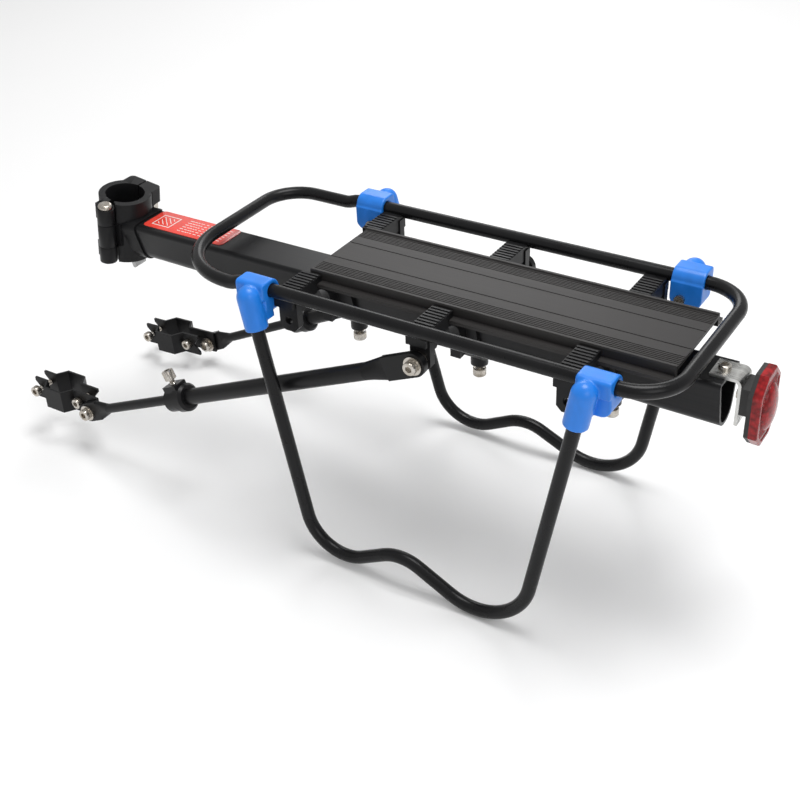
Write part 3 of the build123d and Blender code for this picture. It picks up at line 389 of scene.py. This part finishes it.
class Recipe:
    """One material around a Principled shader."""

    def __init__(self, name, colour, roughness, metallic=0.0, **constants):
        self.material = bpy.data.materials.new(name)
        self.material.use_nodes = True
        self.tree = self.material.node_tree
        self.tree.nodes.clear()
        self.shader = self.tree.nodes.new("ShaderNodeBsdfPrincipled")
        output = self.tree.nodes.new("ShaderNodeOutputMaterial")
        self.tree.links.new(self.shader.outputs[0], output.inputs["Surface"])
        self.feed(self.shader.inputs["Base Color"], colour)
        self.feed(self.shader.inputs["Roughness"], roughness)
        self.feed(self.shader.inputs["Metallic"], metallic)
        for socket, value in constants.items():
            self.feed(self.shader.inputs[socket.replace("_", " ")], value)
        self.material.diffuse_color = (*tuple(colour)[:3], 1.0)

    def feed(self, socket, value):
        """Link a term to a socket, or set the socket's own value."""
        if isinstance(value, Term):
            self.tree.links.new(value.socket, socket)
        elif hasattr(value, "__len__") and len(value) == 3 and len(socket.default_value) == 4:
            socket.default_value = (*value, 1.0)
        else:
            socket.default_value = value

    def node(self, kind, settings=None, sockets=None, output=0):
        """Add a node: its settings first, then the values or links of its sockets."""
        made = self.tree.nodes.new(kind)
        for name, value in (settings or {}).items():
            setattr(made, name, value)
        for key, value in (sockets or {}).items():
            self.feed(made.inputs[key], value)
        return Term(self, made.outputs[output])

    def set(self, socket, value):
        """Feed one of the shader's sockets."""
        self.feed(self.shader.inputs[socket], value)

    def place(self, stretch=(1.0, 1.0, 1.0)):
        """Object coordinates, stretched along the axes."""
        where = self.node("ShaderNodeTexCoord", output="Object")
        return self.node(
            "ShaderNodeMapping", {"vector_type": "POINT"}, {"Vector": where, "Scale": stretch})

    def axes(self):
        """The three object coordinates as separate values."""
        where = self.node("ShaderNodeTexCoord", output="Object")
        parts = self.node("ShaderNodeSeparateXYZ", sockets={"Vector": where})
        outputs = parts.socket.node.outputs
        return Term(self, outputs[0]), Term(self, outputs[1]), Term(self, outputs[2])

    def noise(self, scale, detail=2.0, stretch=(1.0, 1.0, 1.0), rough=0.5):
        """Noise between 0 and 1 at so many cells per metre."""
        return self.node("ShaderNodeTexNoise", {"noise_dimensions": "3D"}, {
            "Vector": self.place(stretch), "Scale": scale, "Detail": detail, "Roughness": rough})

    def spots(self, scale):
        """Distance to scattered points, at so many cells per metre."""
        return self.node(
            "ShaderNodeTexVoronoi", {"feature": "F1"}, {"Vector": self.place(), "Scale": scale})

    def between(self, value, low, high):
        """Map a noise's usual values to a range, held inside it."""
        return self.node("ShaderNodeMapRange", {"clamp": True}, {
            "Value": value, "From Min": NOISE_LOW, "From Max": NOISE_HIGH,
            "To Min": low, "To Max": high})

    def mix(self, factor, first, second):
        """Blend two colours."""
        return self.node(
            "ShaderNodeMix", {"data_type": "RGBA"}, {0: factor, 6: first, 7: second}, output=2)

    def drift(self, value, first, second):
        """Let the base colour wander between two colours as a noise does."""
        self.set("Base Color", self.mix(self.between(value, 0.0, 1.0), first, second))

    def bump(self, height, distance):
        """Raise the surface by a height between 0 and 1 times a distance in metres."""
        self.set("Normal", self.node(
            "ShaderNodeBump", sockets={"Height": height, "Distance": distance, "Strength": 1.0}))


def shade(colour, factor):
    """A colour made lighter or darker."""
    return tuple(min(1.0, channel * factor) for channel in colour)


# ---- finishes ---------------------------------------------------------------------------------
def powder_coat(slot, colour, low, high, peel=0.02 * MM):
    """Satin black coat with a faint orange peel and a little dust."""
    recipe = Recipe(slot, colour, high, Specular_IOR_Level=GLOSS)
    haze = recipe.noise(34.0, detail=4.0)
    recipe.set("Roughness", recipe.between(haze, low, high))
    recipe.drift(haze, shade(colour, 0.45), shade(colour, 0.75))
    recipe.bump(recipe.noise(820.0), peel)
    return recipe.material


def beam_finish(slot, colour):
    """Extruded beam: drawing lines along its length under a satin coat."""
    recipe = Recipe(slot, colour, 0.35, Specular_IOR_Level=GLOSS)
    lines = recipe.noise(60.0, detail=3.0, stretch=(0.04, 9.0, 9.0))
    haze = recipe.noise(22.0, detail=3.0)
    recipe.set("Roughness", recipe.between(lines * 0.6 + haze * 0.4, 0.27, 0.42))
    recipe.drift(lines, shade(colour, 0.5), shade(colour, 0.95))
    recipe.bump(lines, 0.015 * MM)
    return recipe.material


def deck_finish(slot, colour):
    """Anodised deck: brushed lengthwise, warmer and more matte than the bars."""
    recipe = Recipe(slot, colour, 0.45, metallic=0.25, Specular_IOR_Level=0.35)
    brush = recipe.noise(90.0, detail=5.0, stretch=(0.02, 14.0, 14.0), rough=0.65)
    cloud = recipe.noise(14.0, detail=3.0)
    recipe.set("Roughness", recipe.between(brush, 0.40, 0.56))
    recipe.drift(brush * 0.75 + cloud * 0.25, shade(colour, 0.5), shade(colour, 0.85))
    recipe.bump(brush, 0.02 * MM)
    return recipe.material


def casting_finish(slot, colour):
    """Cast part under a satin coat: fine grain and cloudy gloss."""
    recipe = Recipe(slot, colour, 0.4, Specular_IOR_Level=GLOSS)
    cloud = recipe.noise(60.0, detail=3.0)
    recipe.set("Roughness", recipe.between(cloud, 0.30, 0.48))
    recipe.drift(cloud, shade(colour, 0.45), shade(colour, 0.8))
    recipe.bump(recipe.noise(1300.0, detail=3.0), 0.03 * MM)
    return recipe.material


def clip_finish(slot, colour):
    """Moulded nylon: flow clouds and a fine spark-eroded texture."""
    recipe = Recipe(slot, colour, 0.35, IOR=1.5)
    flow = recipe.noise(95.0, detail=4.0, stretch=(1.0, 1.0, 0.4))
    recipe.set("Roughness", recipe.between(flow, 0.28, 0.42))
    recipe.drift(flow, shade(colour, 0.85), shade(colour, 1.12))
    recipe.bump(recipe.noise(1500.0), 0.02 * MM)
    return recipe.material


def label_finish(slot, colour):
    """Printed film: a pale frame with slanted strokes, and rows of plain dashes, on red."""
    recipe = Recipe(slot, colour, 0.35, Coat_Weight=0.4, Coat_Roughness=0.15)
    x, y, _ = recipe.axes()
    low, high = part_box("beam_label")

    def within(value, start, end):
        return (value > start) * (value < end)

    left = low.x + LABEL_MARGIN

    def frame_inside(edge):
        """Inside of the printed frame, drawn in by an edge."""
        across = within(y, low.y + PATCH_LOW + edge, high.y - PATCH_HIGH - edge)
        return within(x, left + edge, left + PATCH_LENGTH - edge) * across

    rows = within(y % ROW_PITCH, 0.0, ROW_HEIGHT)
    rows = rows * within(y, low.y + ROW_EDGE, high.y - ROW_EDGE)
    words = recipe.node("ShaderNodeTexNoise", {"noise_dimensions": "2D"}, {
        "Vector": recipe.place((1.0, 0.02, 1.0)), "Scale": 420.0, "Detail": 0.0}) > 0.44
    dashes = rows * words * within(x, left + ROWS_START, high.x - LABEL_MARGIN)
    outline = frame_inside(0.0) * (1.0 - frame_inside(PATCH_LINE))
    strokes = within((x + y) % STROKE_PITCH, 0.0, PATCH_LINE) * frame_inside(STROKE_EDGE)
    printed = dashes + outline + strokes
    wear = recipe.noise(300.0, detail=3.0)
    red = recipe.mix(recipe.between(wear, 0.0, 1.0), shade(colour, 0.85), shade(colour, 1.1))
    recipe.set("Base Color", recipe.mix(printed, red, PRINT_COLOUR))
    recipe.set("Roughness", recipe.between(wear, 0.26, 0.4))
    recipe.bump(printed, 0.01 * MM)
    return recipe.material


def lens_finish(slot, colour):
    """Clear deep red plastic over a dark back, with painted glints and shade: lighter and darker
    red cells stand in for light caught in its prisms.
    """
    recipe = Recipe(slot, colour, 0.2, Specular_IOR_Level=0.35, IOR=1.49)
    depth = recipe.noise(120.0)
    # painted glints and shade: the red runs from 1.7 times lighter to half as dark, cell by cell
    # about one per prism, standing in for light caught in the prisms; the broader noise also varies
    # the roughness
    cells = recipe.spots(330.0) * 0.5 + depth * 0.6
    recipe.drift(cells, shade(colour, 1.7), shade(colour, 0.5))
    recipe.set("Roughness", recipe.between(depth, 0.14, 0.3))
    return recipe.material


def housing_finish(slot, colour):
    """Matte moulded plastic."""
    recipe = Recipe(slot, colour, 0.55)
    grain = recipe.noise(900.0, detail=3.0)
    recipe.set("Roughness", recipe.between(recipe.noise(70.0), 0.45, 0.62))
    recipe.drift(grain, colour, shade(colour, 1.5))
    recipe.bump(grain, 0.04 * MM)
    return recipe.material


def zinc_finish(slot, colour):
    """Bright zinc plate with faint spangle and rolling lines."""
    recipe = Recipe(slot, colour, 0.3, metallic=1.0)
    rolling = recipe.noise(240.0, stretch=(0.1, 3.0, 0.1))
    spangle = recipe.spots(210.0) * 0.5 + rolling * 0.5
    recipe.set("Roughness", recipe.between(spangle, 0.2, 0.42))
    recipe.drift(rolling, shade(colour, 0.75), shade(colour, 1.12))
    recipe.bump(rolling, 0.012 * MM)
    return recipe.material


def cast_grey_finish(slot, colour):
    """Plain die-cast lever: silver-grey with a tumbled grain."""
    recipe = Recipe(slot, colour, 0.36, metallic=0.9)
    grain = recipe.noise(700.0, detail=4.0)
    recipe.set("Roughness", recipe.between(recipe.noise(80.0), 0.28, 0.46))
    recipe.drift(grain, shade(colour, 0.8), shade(colour, 1.2))
    recipe.bump(grain, 0.03 * MM)
    return recipe.material


def fastener_finish(slot, colour):
    """Nickel plate: bright, with turning marks and a trace of tarnish."""
    recipe = Recipe(slot, colour, 0.25, metallic=1.0)
    turning = recipe.noise(1600.0)
    tarnish = recipe.noise(130.0, detail=4.0)
    recipe.set("Roughness", recipe.between(turning * 0.5 + tarnish * 0.5, 0.16, 0.36))
    warm = (colour[0] * 0.72, colour[1] * 0.66, colour[2] * 0.58)
    recipe.drift(tarnish, shade(colour, 1.15), warm)
    recipe.bump(turning, 0.01 * MM)
    return recipe.material


FINISHES = {
    "bar_black": lambda slot, colour: powder_coat(slot, colour, 0.22, 0.34),
    "beam_black": beam_finish,
    "deck_anodised": deck_finish,
    "cast_black": casting_finish,
    "stay_black": lambda slot, colour: powder_coat(slot, colour, 0.26, 0.38),
    "steel_black": lambda slot, colour: powder_coat(slot, colour, 0.28, 0.42, 0.03 * MM),
    "clip_blue": clip_finish,
    "label_red": label_finish,
    "lens_red": lens_finish,
    "housing_black": housing_finish,
    "zinc_plate": zinc_finish,
    "lever_grey": cast_grey_finish,
    "fastener_steel": fastener_finish,
}


def finish(slot):
    """The material of one slot, made the first time that it is asked for."""
    made = bpy.data.materials.get("finish_" + slot)
    if made is None:
        colours = bpy.context.scene.rack_colours
        colour = tuple(getattr(colours, slot)) if hasattr(colours, slot) else COLOURS[slot]
        made = FINISHES[slot]("finish_" + slot, colour)
    return made


# ---- fasteners --------------------------------------------------------------------------------
def socket_screw(name, size):
    """Knurled socket screw: its head stands on the origin and its shank hangs below."""
    sizes = bpy.context.scene.rack_sizes
    head_r, head_h = size.head_radius * MM, size.head_height * MM
    ridge = sizes.knurl_depth
    ridges = sizes.knurl_ridges
    head = cylinder(name, head_r - ridge, head_h, (0, 0, head_h / 2), 2 * ridges)
    edit(head)
    pick(lambda middle, normal: abs(normal.z) > ALONG)
    bpy.ops.mesh.bevel(offset=HEAD_CHAMFER * head_r, segments=2, affect="EDGES")
    step = pi / ridges

    def is_ridge(middle, normal):
        """Whether a face is every second one round the head's side."""
        turn = Vector((middle.x, middle.y)).angle_signed(Vector((1, 0)))
        return abs(normal.z) < 1.0 - ALONG and round(turn / step - 0.5) % 2 == 0

    pick(is_ridge)
    bpy.ops.mesh.inset(thickness=KNURL_INSET * step * head_r, depth=ridge, use_individual=True)
    clear()
    key = cylinder(name + "_key", KEY_SIZE * head_r, head_h, (0, 0, head_h), 6)
    cut(head, key)
    plain = size.plain * MM
    middle = (0, 0, -plain / 2)
    shank = cylinder(name + "_shank", size.shank_radius * MM, plain, middle, SHANK_SIDES)
    thread(shank, plain, size.length * MM)
    return joined(name, [head, shank])


def thread(shank, start, end):
    """Draw a shank on from start to end with thread grooves and a chamfered tip."""
    pitch = bpy.context.scene.rack_sizes.thread_pitch
    edit(shank)
    pick(lambda middle, normal: normal.z < -ALONG)
    z = -start
    while z - pitch > -end:
        for ratio in (THREAD_ROOT, 1.0 / THREAD_ROOT):
            push((0, 0, -pitch / 2))
            z -= pitch / 2
            scale_to((ratio, ratio, 1.0), (0, 0, z))
    push((0, 0, -(z + end)))
    scale_to((THREAD_ROOT, THREAD_ROOT, 1.0), (0, 0, -end))
    clear()


def place_screws(model, name, places, slot, *nodes):
    """Copies of one screw at several places, as one piece for the CAD nodes."""
    copies = [placed_copy(model, "%s_%d" % (name, i), place) for i, place in enumerate(places)]
    settle(joined(name, copies), slot, *nodes)


def discard(piece):
    """Remove a model that has only been copied from."""
    hold(piece)
    bpy.ops.object.delete()


# ---- what a user may change -------------------------------------------------------------------
class RackSizes(bpy.types.PropertyGroup):
    """Sizes of the details that are modelled here."""

    knurl_ridges: bpy.props.IntProperty(
        name="Knurl Ridges", description="Ridges round each socket screw's head",
        default=22, min=8, max=60)
    knurl_depth: bpy.props.FloatProperty(
        name="Knurl Depth", description="Height of a ridge of the knurl", default=0.0002, min=0.0,
        precision=5, subtype="DISTANCE", unit="LENGTH")
    thread_pitch: bpy.props.FloatProperty(
        name="Thread Pitch", description="Distance between the grooves of a screw's thread",
        default=0.001, min=0.0004, precision=5, subtype="DISTANCE", unit="LENGTH")
    clip_grain: bpy.props.FloatProperty(
        name="Clip Grain", description="Fineness of the mesh that rounds the clips",
        default=0.0006, min=0.0003, precision=5, subtype="DISTANCE", unit="LENGTH")
    prism_pitch: bpy.props.FloatProperty(
        name="Prism Pitch", description="Distance between the prisms of the reflector",
        default=0.0028, min=0.001, precision=5, subtype="DISTANCE", unit="LENGTH")
    floor_size: bpy.props.FloatProperty(
        name="Floor Size", description="Length of the square floor's side", default=8.0, min=1.0,
        subtype="DISTANCE", unit="LENGTH")


def colour_property(label, slot):
    """Colour of one finish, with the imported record's colour as its default."""
    return bpy.props.FloatVectorProperty(
        name=label, description="Base colour of the %s" % label.lower(), default=COLOURS[slot],
        min=0.0, max=1.0, size=3, subtype="COLOR")


class RackColours(bpy.types.PropertyGroup):
    """Colours of the finishes that a user would change."""

    bar_black: colour_property("Bars", "bar_black")
    beam_black: colour_property("Beam", "beam_black")
    deck_anodised: colour_property("Deck", "deck_anodised")
    clip_blue: colour_property("Clips", "clip_blue")
    label_red: colour_property("Label", "label_red")
    lens_red: colour_property("Reflector Lens", "lens_red")


# ---- operators --------------------------------------------------------------------------------
class RackOperator(bpy.types.Operator):
    """Base of the rack's operators."""

    bl_options = {"REGISTER", "UNDO"}


class RACK_OT_bars(RackOperator):
    """Coat the hoop rail and the two side guards"""

    bl_idname = "rack.bars"
    bl_label = "Hoop and Side Guards"

    def execute(self, context):
        coat("hoop_rail", "side_guard_left", "side_guard_right")
        return {"FINISHED"}


class RACK_OT_beam(RackOperator):
    """Finish the main beam"""

    bl_idname = "rack.beam"
    bl_label = "Main Beam"

    def execute(self, context):
        coat("main_beam")
        return {"FINISHED"}


class RACK_OT_deck(RackOperator):
    """Finish the grooved deck plate"""

    bl_idname = "rack.deck"
    bl_label = "Deck Plate"

    def execute(self, context):
        coat("deck_plate")
        return {"FINISHED"}


class RACK_OT_brackets(RackOperator):
    """Finish the three cross brackets"""

    bl_idname = "rack.brackets"
    bl_label = "Cross Brackets"

    def execute(self, context):
        brackets = ("cross_bracket_front", "cross_bracket_middle", "cross_bracket_rear")
        coat(*brackets)
        round_edges(BRACKET_EDGE, *brackets)
        return {"FINISHED"}


class RACK_OT_seatpost_clamp(RackOperator):
    """Finish the seatpost clamp, its pin, bolt and lever"""

    bl_idname = "rack.seatpost_clamp"
    bl_label = "Seatpost Clamp"

    def execute(self, context):
        coat("clamp_body", "clamp_jaw", "clamp_hinge_pin", "clamp_bolt", "clamp_nut")
        coat("quick_release_lever", "lever_pin")
        round_edges(CLAMP_EDGE, "clamp_body", "clamp_jaw", "quick_release_lever")
        return {"FINISHED"}


class RACK_OT_clips(RackOperator):
    """Model the four rounded plastic clips that hold the guards"""

    bl_idname = "rack.clips"
    bl_label = "Guard Clips"

    def execute(self, context):
        grain = context.scene.rack_sizes.clip_grain
        for end in ("front", "rear"):
            for side in SIDES:
                node = "guard_clip_%s_%s" % (end, side)
                clip = copy_of_node(node, "moulded_clip_%s_%s" % (end, side))
                apply_modifier(clip, "REMESH", mode="VOXEL", voxel_size=grain, adaptivity=0.0)
                apply_modifier(clip, "SMOOTH", factor=0.5, iterations=14)
                settle(clip, "clip_blue", node, angle=60.0)
        coat("guard_clip_screws")
        return {"FINISHED"}


class RACK_OT_label(RackOperator):
    """Model the printed label on the beam, with rounded corners and a soft edge"""

    bl_idname = "rack.label"
    bl_label = "Beam Label"

    def execute(self, context):
        low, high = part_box("beam_label")
        label = box("printed_label", low, high)
        edit(label)
        pick_edges(lambda a, b: abs(a.z - b.z) > 0.3 * MM and (a - b).length < MM)
        bpy.ops.mesh.bevel(offset=LABEL_CORNER, segments=8, affect="EDGES")
        bpy.ops.mesh.select_mode(type="FACE")
        pick(lambda middle, normal: normal.z > ALONG)
        bpy.ops.mesh.bevel(offset=LABEL_ROUND, segments=2, affect="EDGES")
        clear()
        settle(label, "label_red", "beam_label")
        return {"FINISHED"}


class RACK_OT_reflector(RackOperator):
    """Model the prismatic lens and finish the reflector's housing and bracket"""

    bl_idname = "rack.reflector"
    bl_label = "Rear Reflector"

    def execute(self, context):
        low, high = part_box("reflector_lens")
        wrap = Vector((0, LENS_WRAP, LENS_WRAP))
        low, high = low - wrap, high + wrap
        middle = (low + high) / 2
        face = high.x - LENS_BULGE
        lens = box("prism_lens", (high.x - LENS_DEPTH, low.y, low.z), (face, high.y, high.z))
        edit(lens)
        pick_edges(lambda a, b: abs(a.x - b.x) > MM)
        bpy.ops.mesh.bevel(offset=LENS_CORNER, segments=1, affect="EDGES")
        bpy.ops.mesh.select_mode(type="FACE")
        pick(lambda middle, normal: normal.x > ALONG)
        bpy.ops.mesh.bevel(offset=LENS_ROUND, segments=3, affect="EDGES")
        pick(lambda middle, normal: normal.x > 0.99)
        bpy.ops.mesh.inset(thickness=LENS_RIM, depth=0.0)
        bpy.ops.mesh.inset(thickness=LENS_STEP, depth=-LENS_STEP)
        clear()
        field = self.prism_field(context, face - LENS_STEP, middle, high - low)
        lens = joined("prism_lens", [lens, field, self.bulge(face, middle)])
        settle(lens, "lens_red", "reflector_lens", angle=24.0)
        coat("reflector_housing", "reflector_bracket", "reflector_bracket_screw", "reflector_screw")
        return {"FINISHED"}

    def prism_field(self, context, face, middle, span):
        """Field of small pyramids behind the lens's rim."""
        pitch = context.scene.rack_sizes.prism_pitch
        half = span / 2 - Vector((0, FIELD_MARGIN, FIELD_MARGIN))
        low, high = middle - half, middle + half
        plate = box("prism_field", (face - MM, low.y, low.z), (face, high.y, high.z))
        for axis in (1, 2):
            normal = Vector((0, 0, 0))
            normal[axis] = 1.0
            cells = round(2 * half[axis] / pitch)
            for i in range(1, cells):
                self.score(plate, low + normal * (2 * half[axis] * i / cells), normal)
        edit(plate)
        pick(lambda where, normal: normal.x > ALONG)
        bpy.ops.mesh.poke(offset=PRISM_HEIGHT)
        clear()
        return plate

    def score(self, plate, point, normal):
        """Divide the plate along one plane."""
        edit(plate)
        bpy.ops.mesh.bisect(plane_co=point, plane_no=normal)
        clear()

    def bulge(self, face, middle):
        """Oval dome in the middle of the lens."""
        clear()
        bpy.ops.mesh.primitive_uv_sphere_add(
            segments=36, ring_count=18, radius=1.0, rotation=(0, pi / 2, 0),
            location=(face - BULGE_SINK, middle.y, middle.z),
            scale=(BULGE_HALF_HEIGHT, BULGE_HALF_WIDTH, LENS_BULGE + BULGE_SINK))
        dome = bpy.context.active_object
        dome.name = "lens_bulge"
        bpy.ops.object.transform_apply(location=True, rotation=True, scale=True)
        edit(dome)
        back = (face - BULGE_SINK - 0.3 * MM, 0, 0)
        bpy.ops.mesh.bisect(plane_co=back, plane_no=(-1, 0, 0), clear_outer=True, use_fill=True)
        clear()
        return dome


class RACK_OT_stays(RackOperator):
    """Finish the telescopic stays and their washers, bushes and nuts"""

    bl_idname = "rack.stays"
    bl_label = "Telescopic Stays"

    def execute(self, context):
        coat("stay_pivot_washers", "stay_pivot_bushes", "stay_pivot_nuts")
        for side in SIDES:
            coat("stay_tube_" + side, "stay_collar_" + side, "stay_rod_" + side)
            coat("rod_end_washer_" + side, "rod_end_nut_" + side)
        return {"FINISHED"}


class RACK_OT_seatstay_clamps(RackOperator):
    """Finish the folded shells that grip the seatstays"""

    bl_idname = "rack.seatstay_clamps"
    bl_label = "Seatstay Clamps"

    def execute(self, context):
        for side in SIDES:
            coat("seatstay_shell_outer_" + side, "seatstay_shell_inner_" + side)
            coat("seatstay_nuts_" + side)
        return {"FINISHED"}


class RACK_OT_bracket_bolts(RackOperator):
    """Model the bolts that hang below the beam"""

    bl_idname = "rack.bracket_bolts"
    bl_label = "Bracket Bolts"

    def execute(self, context):
        model = socket_screw("bracket_bolt_model", BRACKET_BOLT)
        seats = [(x, 0, beam_low(x) - LUG_DROP - LUG_STAND) for x in BAND_XS]
        places = [facing(seat, (0, 0, -1)) for seat in seats]
        place_screws(model, "knurled_bracket_bolts", places, "fastener_steel", "bracket_bolts")
        discard(model)
        return {"FINISHED"}


class RACK_OT_stay_bolts(RackOperator):
    """Model the bolts at both ends of the stays"""

    bl_idname = "rack.stay_bolts"
    bl_label = "Stay Bolts"

    def execute(self, context):
        model = socket_screw("pivot_bolt_model", PIVOT_BOLT)
        x, z = STAY_PIVOT
        seat = STAY_Y + STAY_HALF_EYE + WASHER
        places = [facing((x, way * seat, z), (0, way, 0)) for way in SIDES.values()]
        place_screws(model, "knurled_pivot_bolts", places, "fastener_steel", "stay_pivot_bolts")
        discard(model)
        model = socket_screw("rod_bolt_model", ROD_BOLT)
        seats = {
            "left": -STAY_Y - STAY_HALF_EYE - WASHER - BOLT_GAP,
            "right": STAY_Y - STAY_HALF_EYE - CLAMP_EAR - WASHER + BOLT_GAP,
        }
        for side in SIDES:
            x, z = rod_end(side)
            places = [facing((x, seats[side], z), (0, -1, 0))]
            name, node = "knurled_rod_bolt_" + side, "rod_end_bolt_" + side
            place_screws(model, name, places, "fastener_steel", node)
        discard(model)
        return {"FINISHED"}


class RACK_OT_collar_screws(RackOperator):
    """Model the tall thumb screws that lock the stays"""

    bl_idname = "rack.collar_screws"
    bl_label = "Collar Screws"

    def execute(self, context):
        model = socket_screw("thumb_screw_model", THUMB_SCREW)
        for side in SIDES:
            seat = along_stay(side, THUMB_S, THUMB_SEAT)
            up = along_stay(side, THUMB_S, THUMB_SEAT - 1.0) - seat
            name, node = "knurled_collar_screw_" + side, "collar_screw_" + side
            place_screws(model, name, [facing(seat, up)], "fastener_steel", node)
        discard(model)
        return {"FINISHED"}


class RACK_OT_clamp_screws(RackOperator):
    """Model the screws of the seatstay clamps"""

    bl_idname = "rack.clamp_screws"
    bl_label = "Seatstay Clamp Screws"

    def execute(self, context):
        model = socket_screw("clamp_screw_model", CLAMP_SCREW)
        for side in SIDES:
            seats = [in_clamp(side, x, -CLAMP_SEAT - stand) for x, stand in CLAMP_SCREWS]
            places = [facing(seat, (0, -1, 0)) for seat in seats]
            name, node = "knurled_clamp_screws_" + side, "seatstay_screws_" + side
            place_screws(model, name, places, "fastener_steel", node)
        discard(model)
        return {"FINISHED"}


class RACK_OT_stage(RackOperator):
    """Lay the pale floor, hang the soft lights and set up the camera"""

    bl_idname = "rack.stage"
    bl_label = "Stage"

    def execute(self, context):
        self.floor(context)
        self.sky(context)
        for lamp in LAMPS:
            self.lamp(context, *lamp)
        self.camera(context)
        context.scene.view_settings.view_transform = "Standard"
        return {"FINISHED"}

    def floor(self, context):
        """Plain pale floor under the lowest point of the guards."""
        clear()
        height = min(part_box(node)[0].z for node in frame["nodes"])
        size = context.scene.rack_sizes.floor_size
        bpy.ops.mesh.primitive_plane_add(size=size, location=(*FLOOR_MIDDLE, height - FLOOR_GAP))
        floor = context.active_object
        floor.name = "studio_floor"
        bpy.ops.object.transform_apply(location=True, rotation=True, scale=True)
        recipe = Recipe("pale_floor", (0.93, 0.93, 0.93), 0.6)
        cloud = recipe.noise(3.0)
        recipe.set("Base Color", recipe.mix(cloud, (0.92, 0.92, 0.92), (0.94, 0.94, 0.94)))
        floor.data.materials.append(recipe.material)
        clear()

    def sky(self, context):
        """Even white surroundings."""
        world = bpy.data.worlds.new("studio_white")
        world.use_nodes = True
        background = world.node_tree.nodes["Background"]
        background.inputs["Color"].default_value = (1.0, 1.0, 1.0, 1.0)
        background.inputs["Strength"].default_value = SKY_STRENGTH
        context.scene.world = world

    def lamp(self, context, name, energy, size, place, target):
        """Soft square light that looks at a target."""
        clear()
        bpy.ops.object.light_add(type="AREA", location=place)
        lamp = context.active_object
        lamp.name = name
        lamp.data.energy = energy
        lamp.data.size = size
        aim = Vector(target) - Vector(place)
        lamp.rotation_euler = aim.to_track_quat("-Z", "Y").to_euler()

    def camera(self, context):
        """Camera above and behind the rack's left rear corner."""
        clear()
        bpy.ops.object.camera_add()
        camera = context.active_object
        camera.name = "product_camera"
        camera.data.sensor_width = CAMERA_SENSOR
        camera.data.lens = CAMERA_LENS
        camera.data.clip_end = CAMERA_REACH
        ahead = Vector((-sin(CAMERA_YAW), cos(CAMERA_YAW), 0.0)) * cos(CAMERA_FALL)
        forward = ahead - Vector((0.0, 0.0, sin(CAMERA_FALL)))
        level = Vector((cos(CAMERA_YAW), sin(CAMERA_YAW), 0.0))
        above = level.cross(forward)
        across = level * cos(CAMERA_ROLL) + above * sin(CAMERA_ROLL)
        upward = above * cos(CAMERA_ROLL) - level * sin(CAMERA_ROLL)
        turn = Matrix((across, upward, -forward)).transposed().to_4x4()
        camera.matrix_world = Matrix.Translation(CAMERA_PLACE) @ turn
        context.scene.camera = camera


OPERATORS = (
    RACK_OT_stage, RACK_OT_bars, RACK_OT_beam, RACK_OT_deck, RACK_OT_brackets,
    RACK_OT_seatpost_clamp, RACK_OT_clips, RACK_OT_label, RACK_OT_reflector, RACK_OT_stays,
    RACK_OT_seatstay_clamps, RACK_OT_bracket_bolts, RACK_OT_stay_bolts, RACK_OT_collar_screws,
    RACK_OT_clamp_screws,
)


class RACK_PT_sidebar(bpy.types.Panel):
    """Sidebar panel with the rack's sizes, colours and operators"""

    bl_idname = "RACK_PT_sidebar"
    bl_label = "Seatpost Rack"
    bl_space_type = "VIEW_3D"
    bl_region_type = "UI"
    bl_category = "Rack"

    def draw(self, context):
        for group in (context.scene.rack_sizes, context.scene.rack_colours):
            for name in group.__annotations__:
                self.layout.prop(group, name)
        for operator in OPERATORS:
            self.layout.operator(operator.bl_idname)


CLASSES = (RackSizes, RackColours, *OPERATORS, RACK_PT_sidebar)


def register():
    """Register the classes and hang the properties on the scene."""
    for kind in CLASSES:
        bpy.utils.register_class(kind)
    bpy.types.Scene.rack_sizes = bpy.props.PointerProperty(type=RackSizes)
    bpy.types.Scene.rack_colours = bpy.props.PointerProperty(type=RackColours)


def unregister():
    """Undo what register did."""
    del bpy.types.Scene.rack_colours
    del bpy.types.Scene.rack_sizes
    for kind in reversed(CLASSES):
        bpy.utils.unregister_class(kind)


def main():
    """Make every piece in order."""
    register()
    bpy.ops.rack.stage()
    bpy.ops.rack.bars()
    bpy.ops.rack.beam()
    bpy.ops.rack.deck()
    bpy.ops.rack.brackets()
    bpy.ops.rack.seatpost_clamp()
    bpy.ops.rack.clips()
    bpy.ops.rack.label()
    bpy.ops.rack.reflector()
    bpy.ops.rack.stays()
    bpy.ops.rack.seatstay_clamps()
    bpy.ops.rack.bracket_bolts()
    bpy.ops.rack.stay_bolts()
    bpy.ops.rack.collar_screws()
    bpy.ops.rack.clamp_screws()


if __name__ == "__main__":
    main()
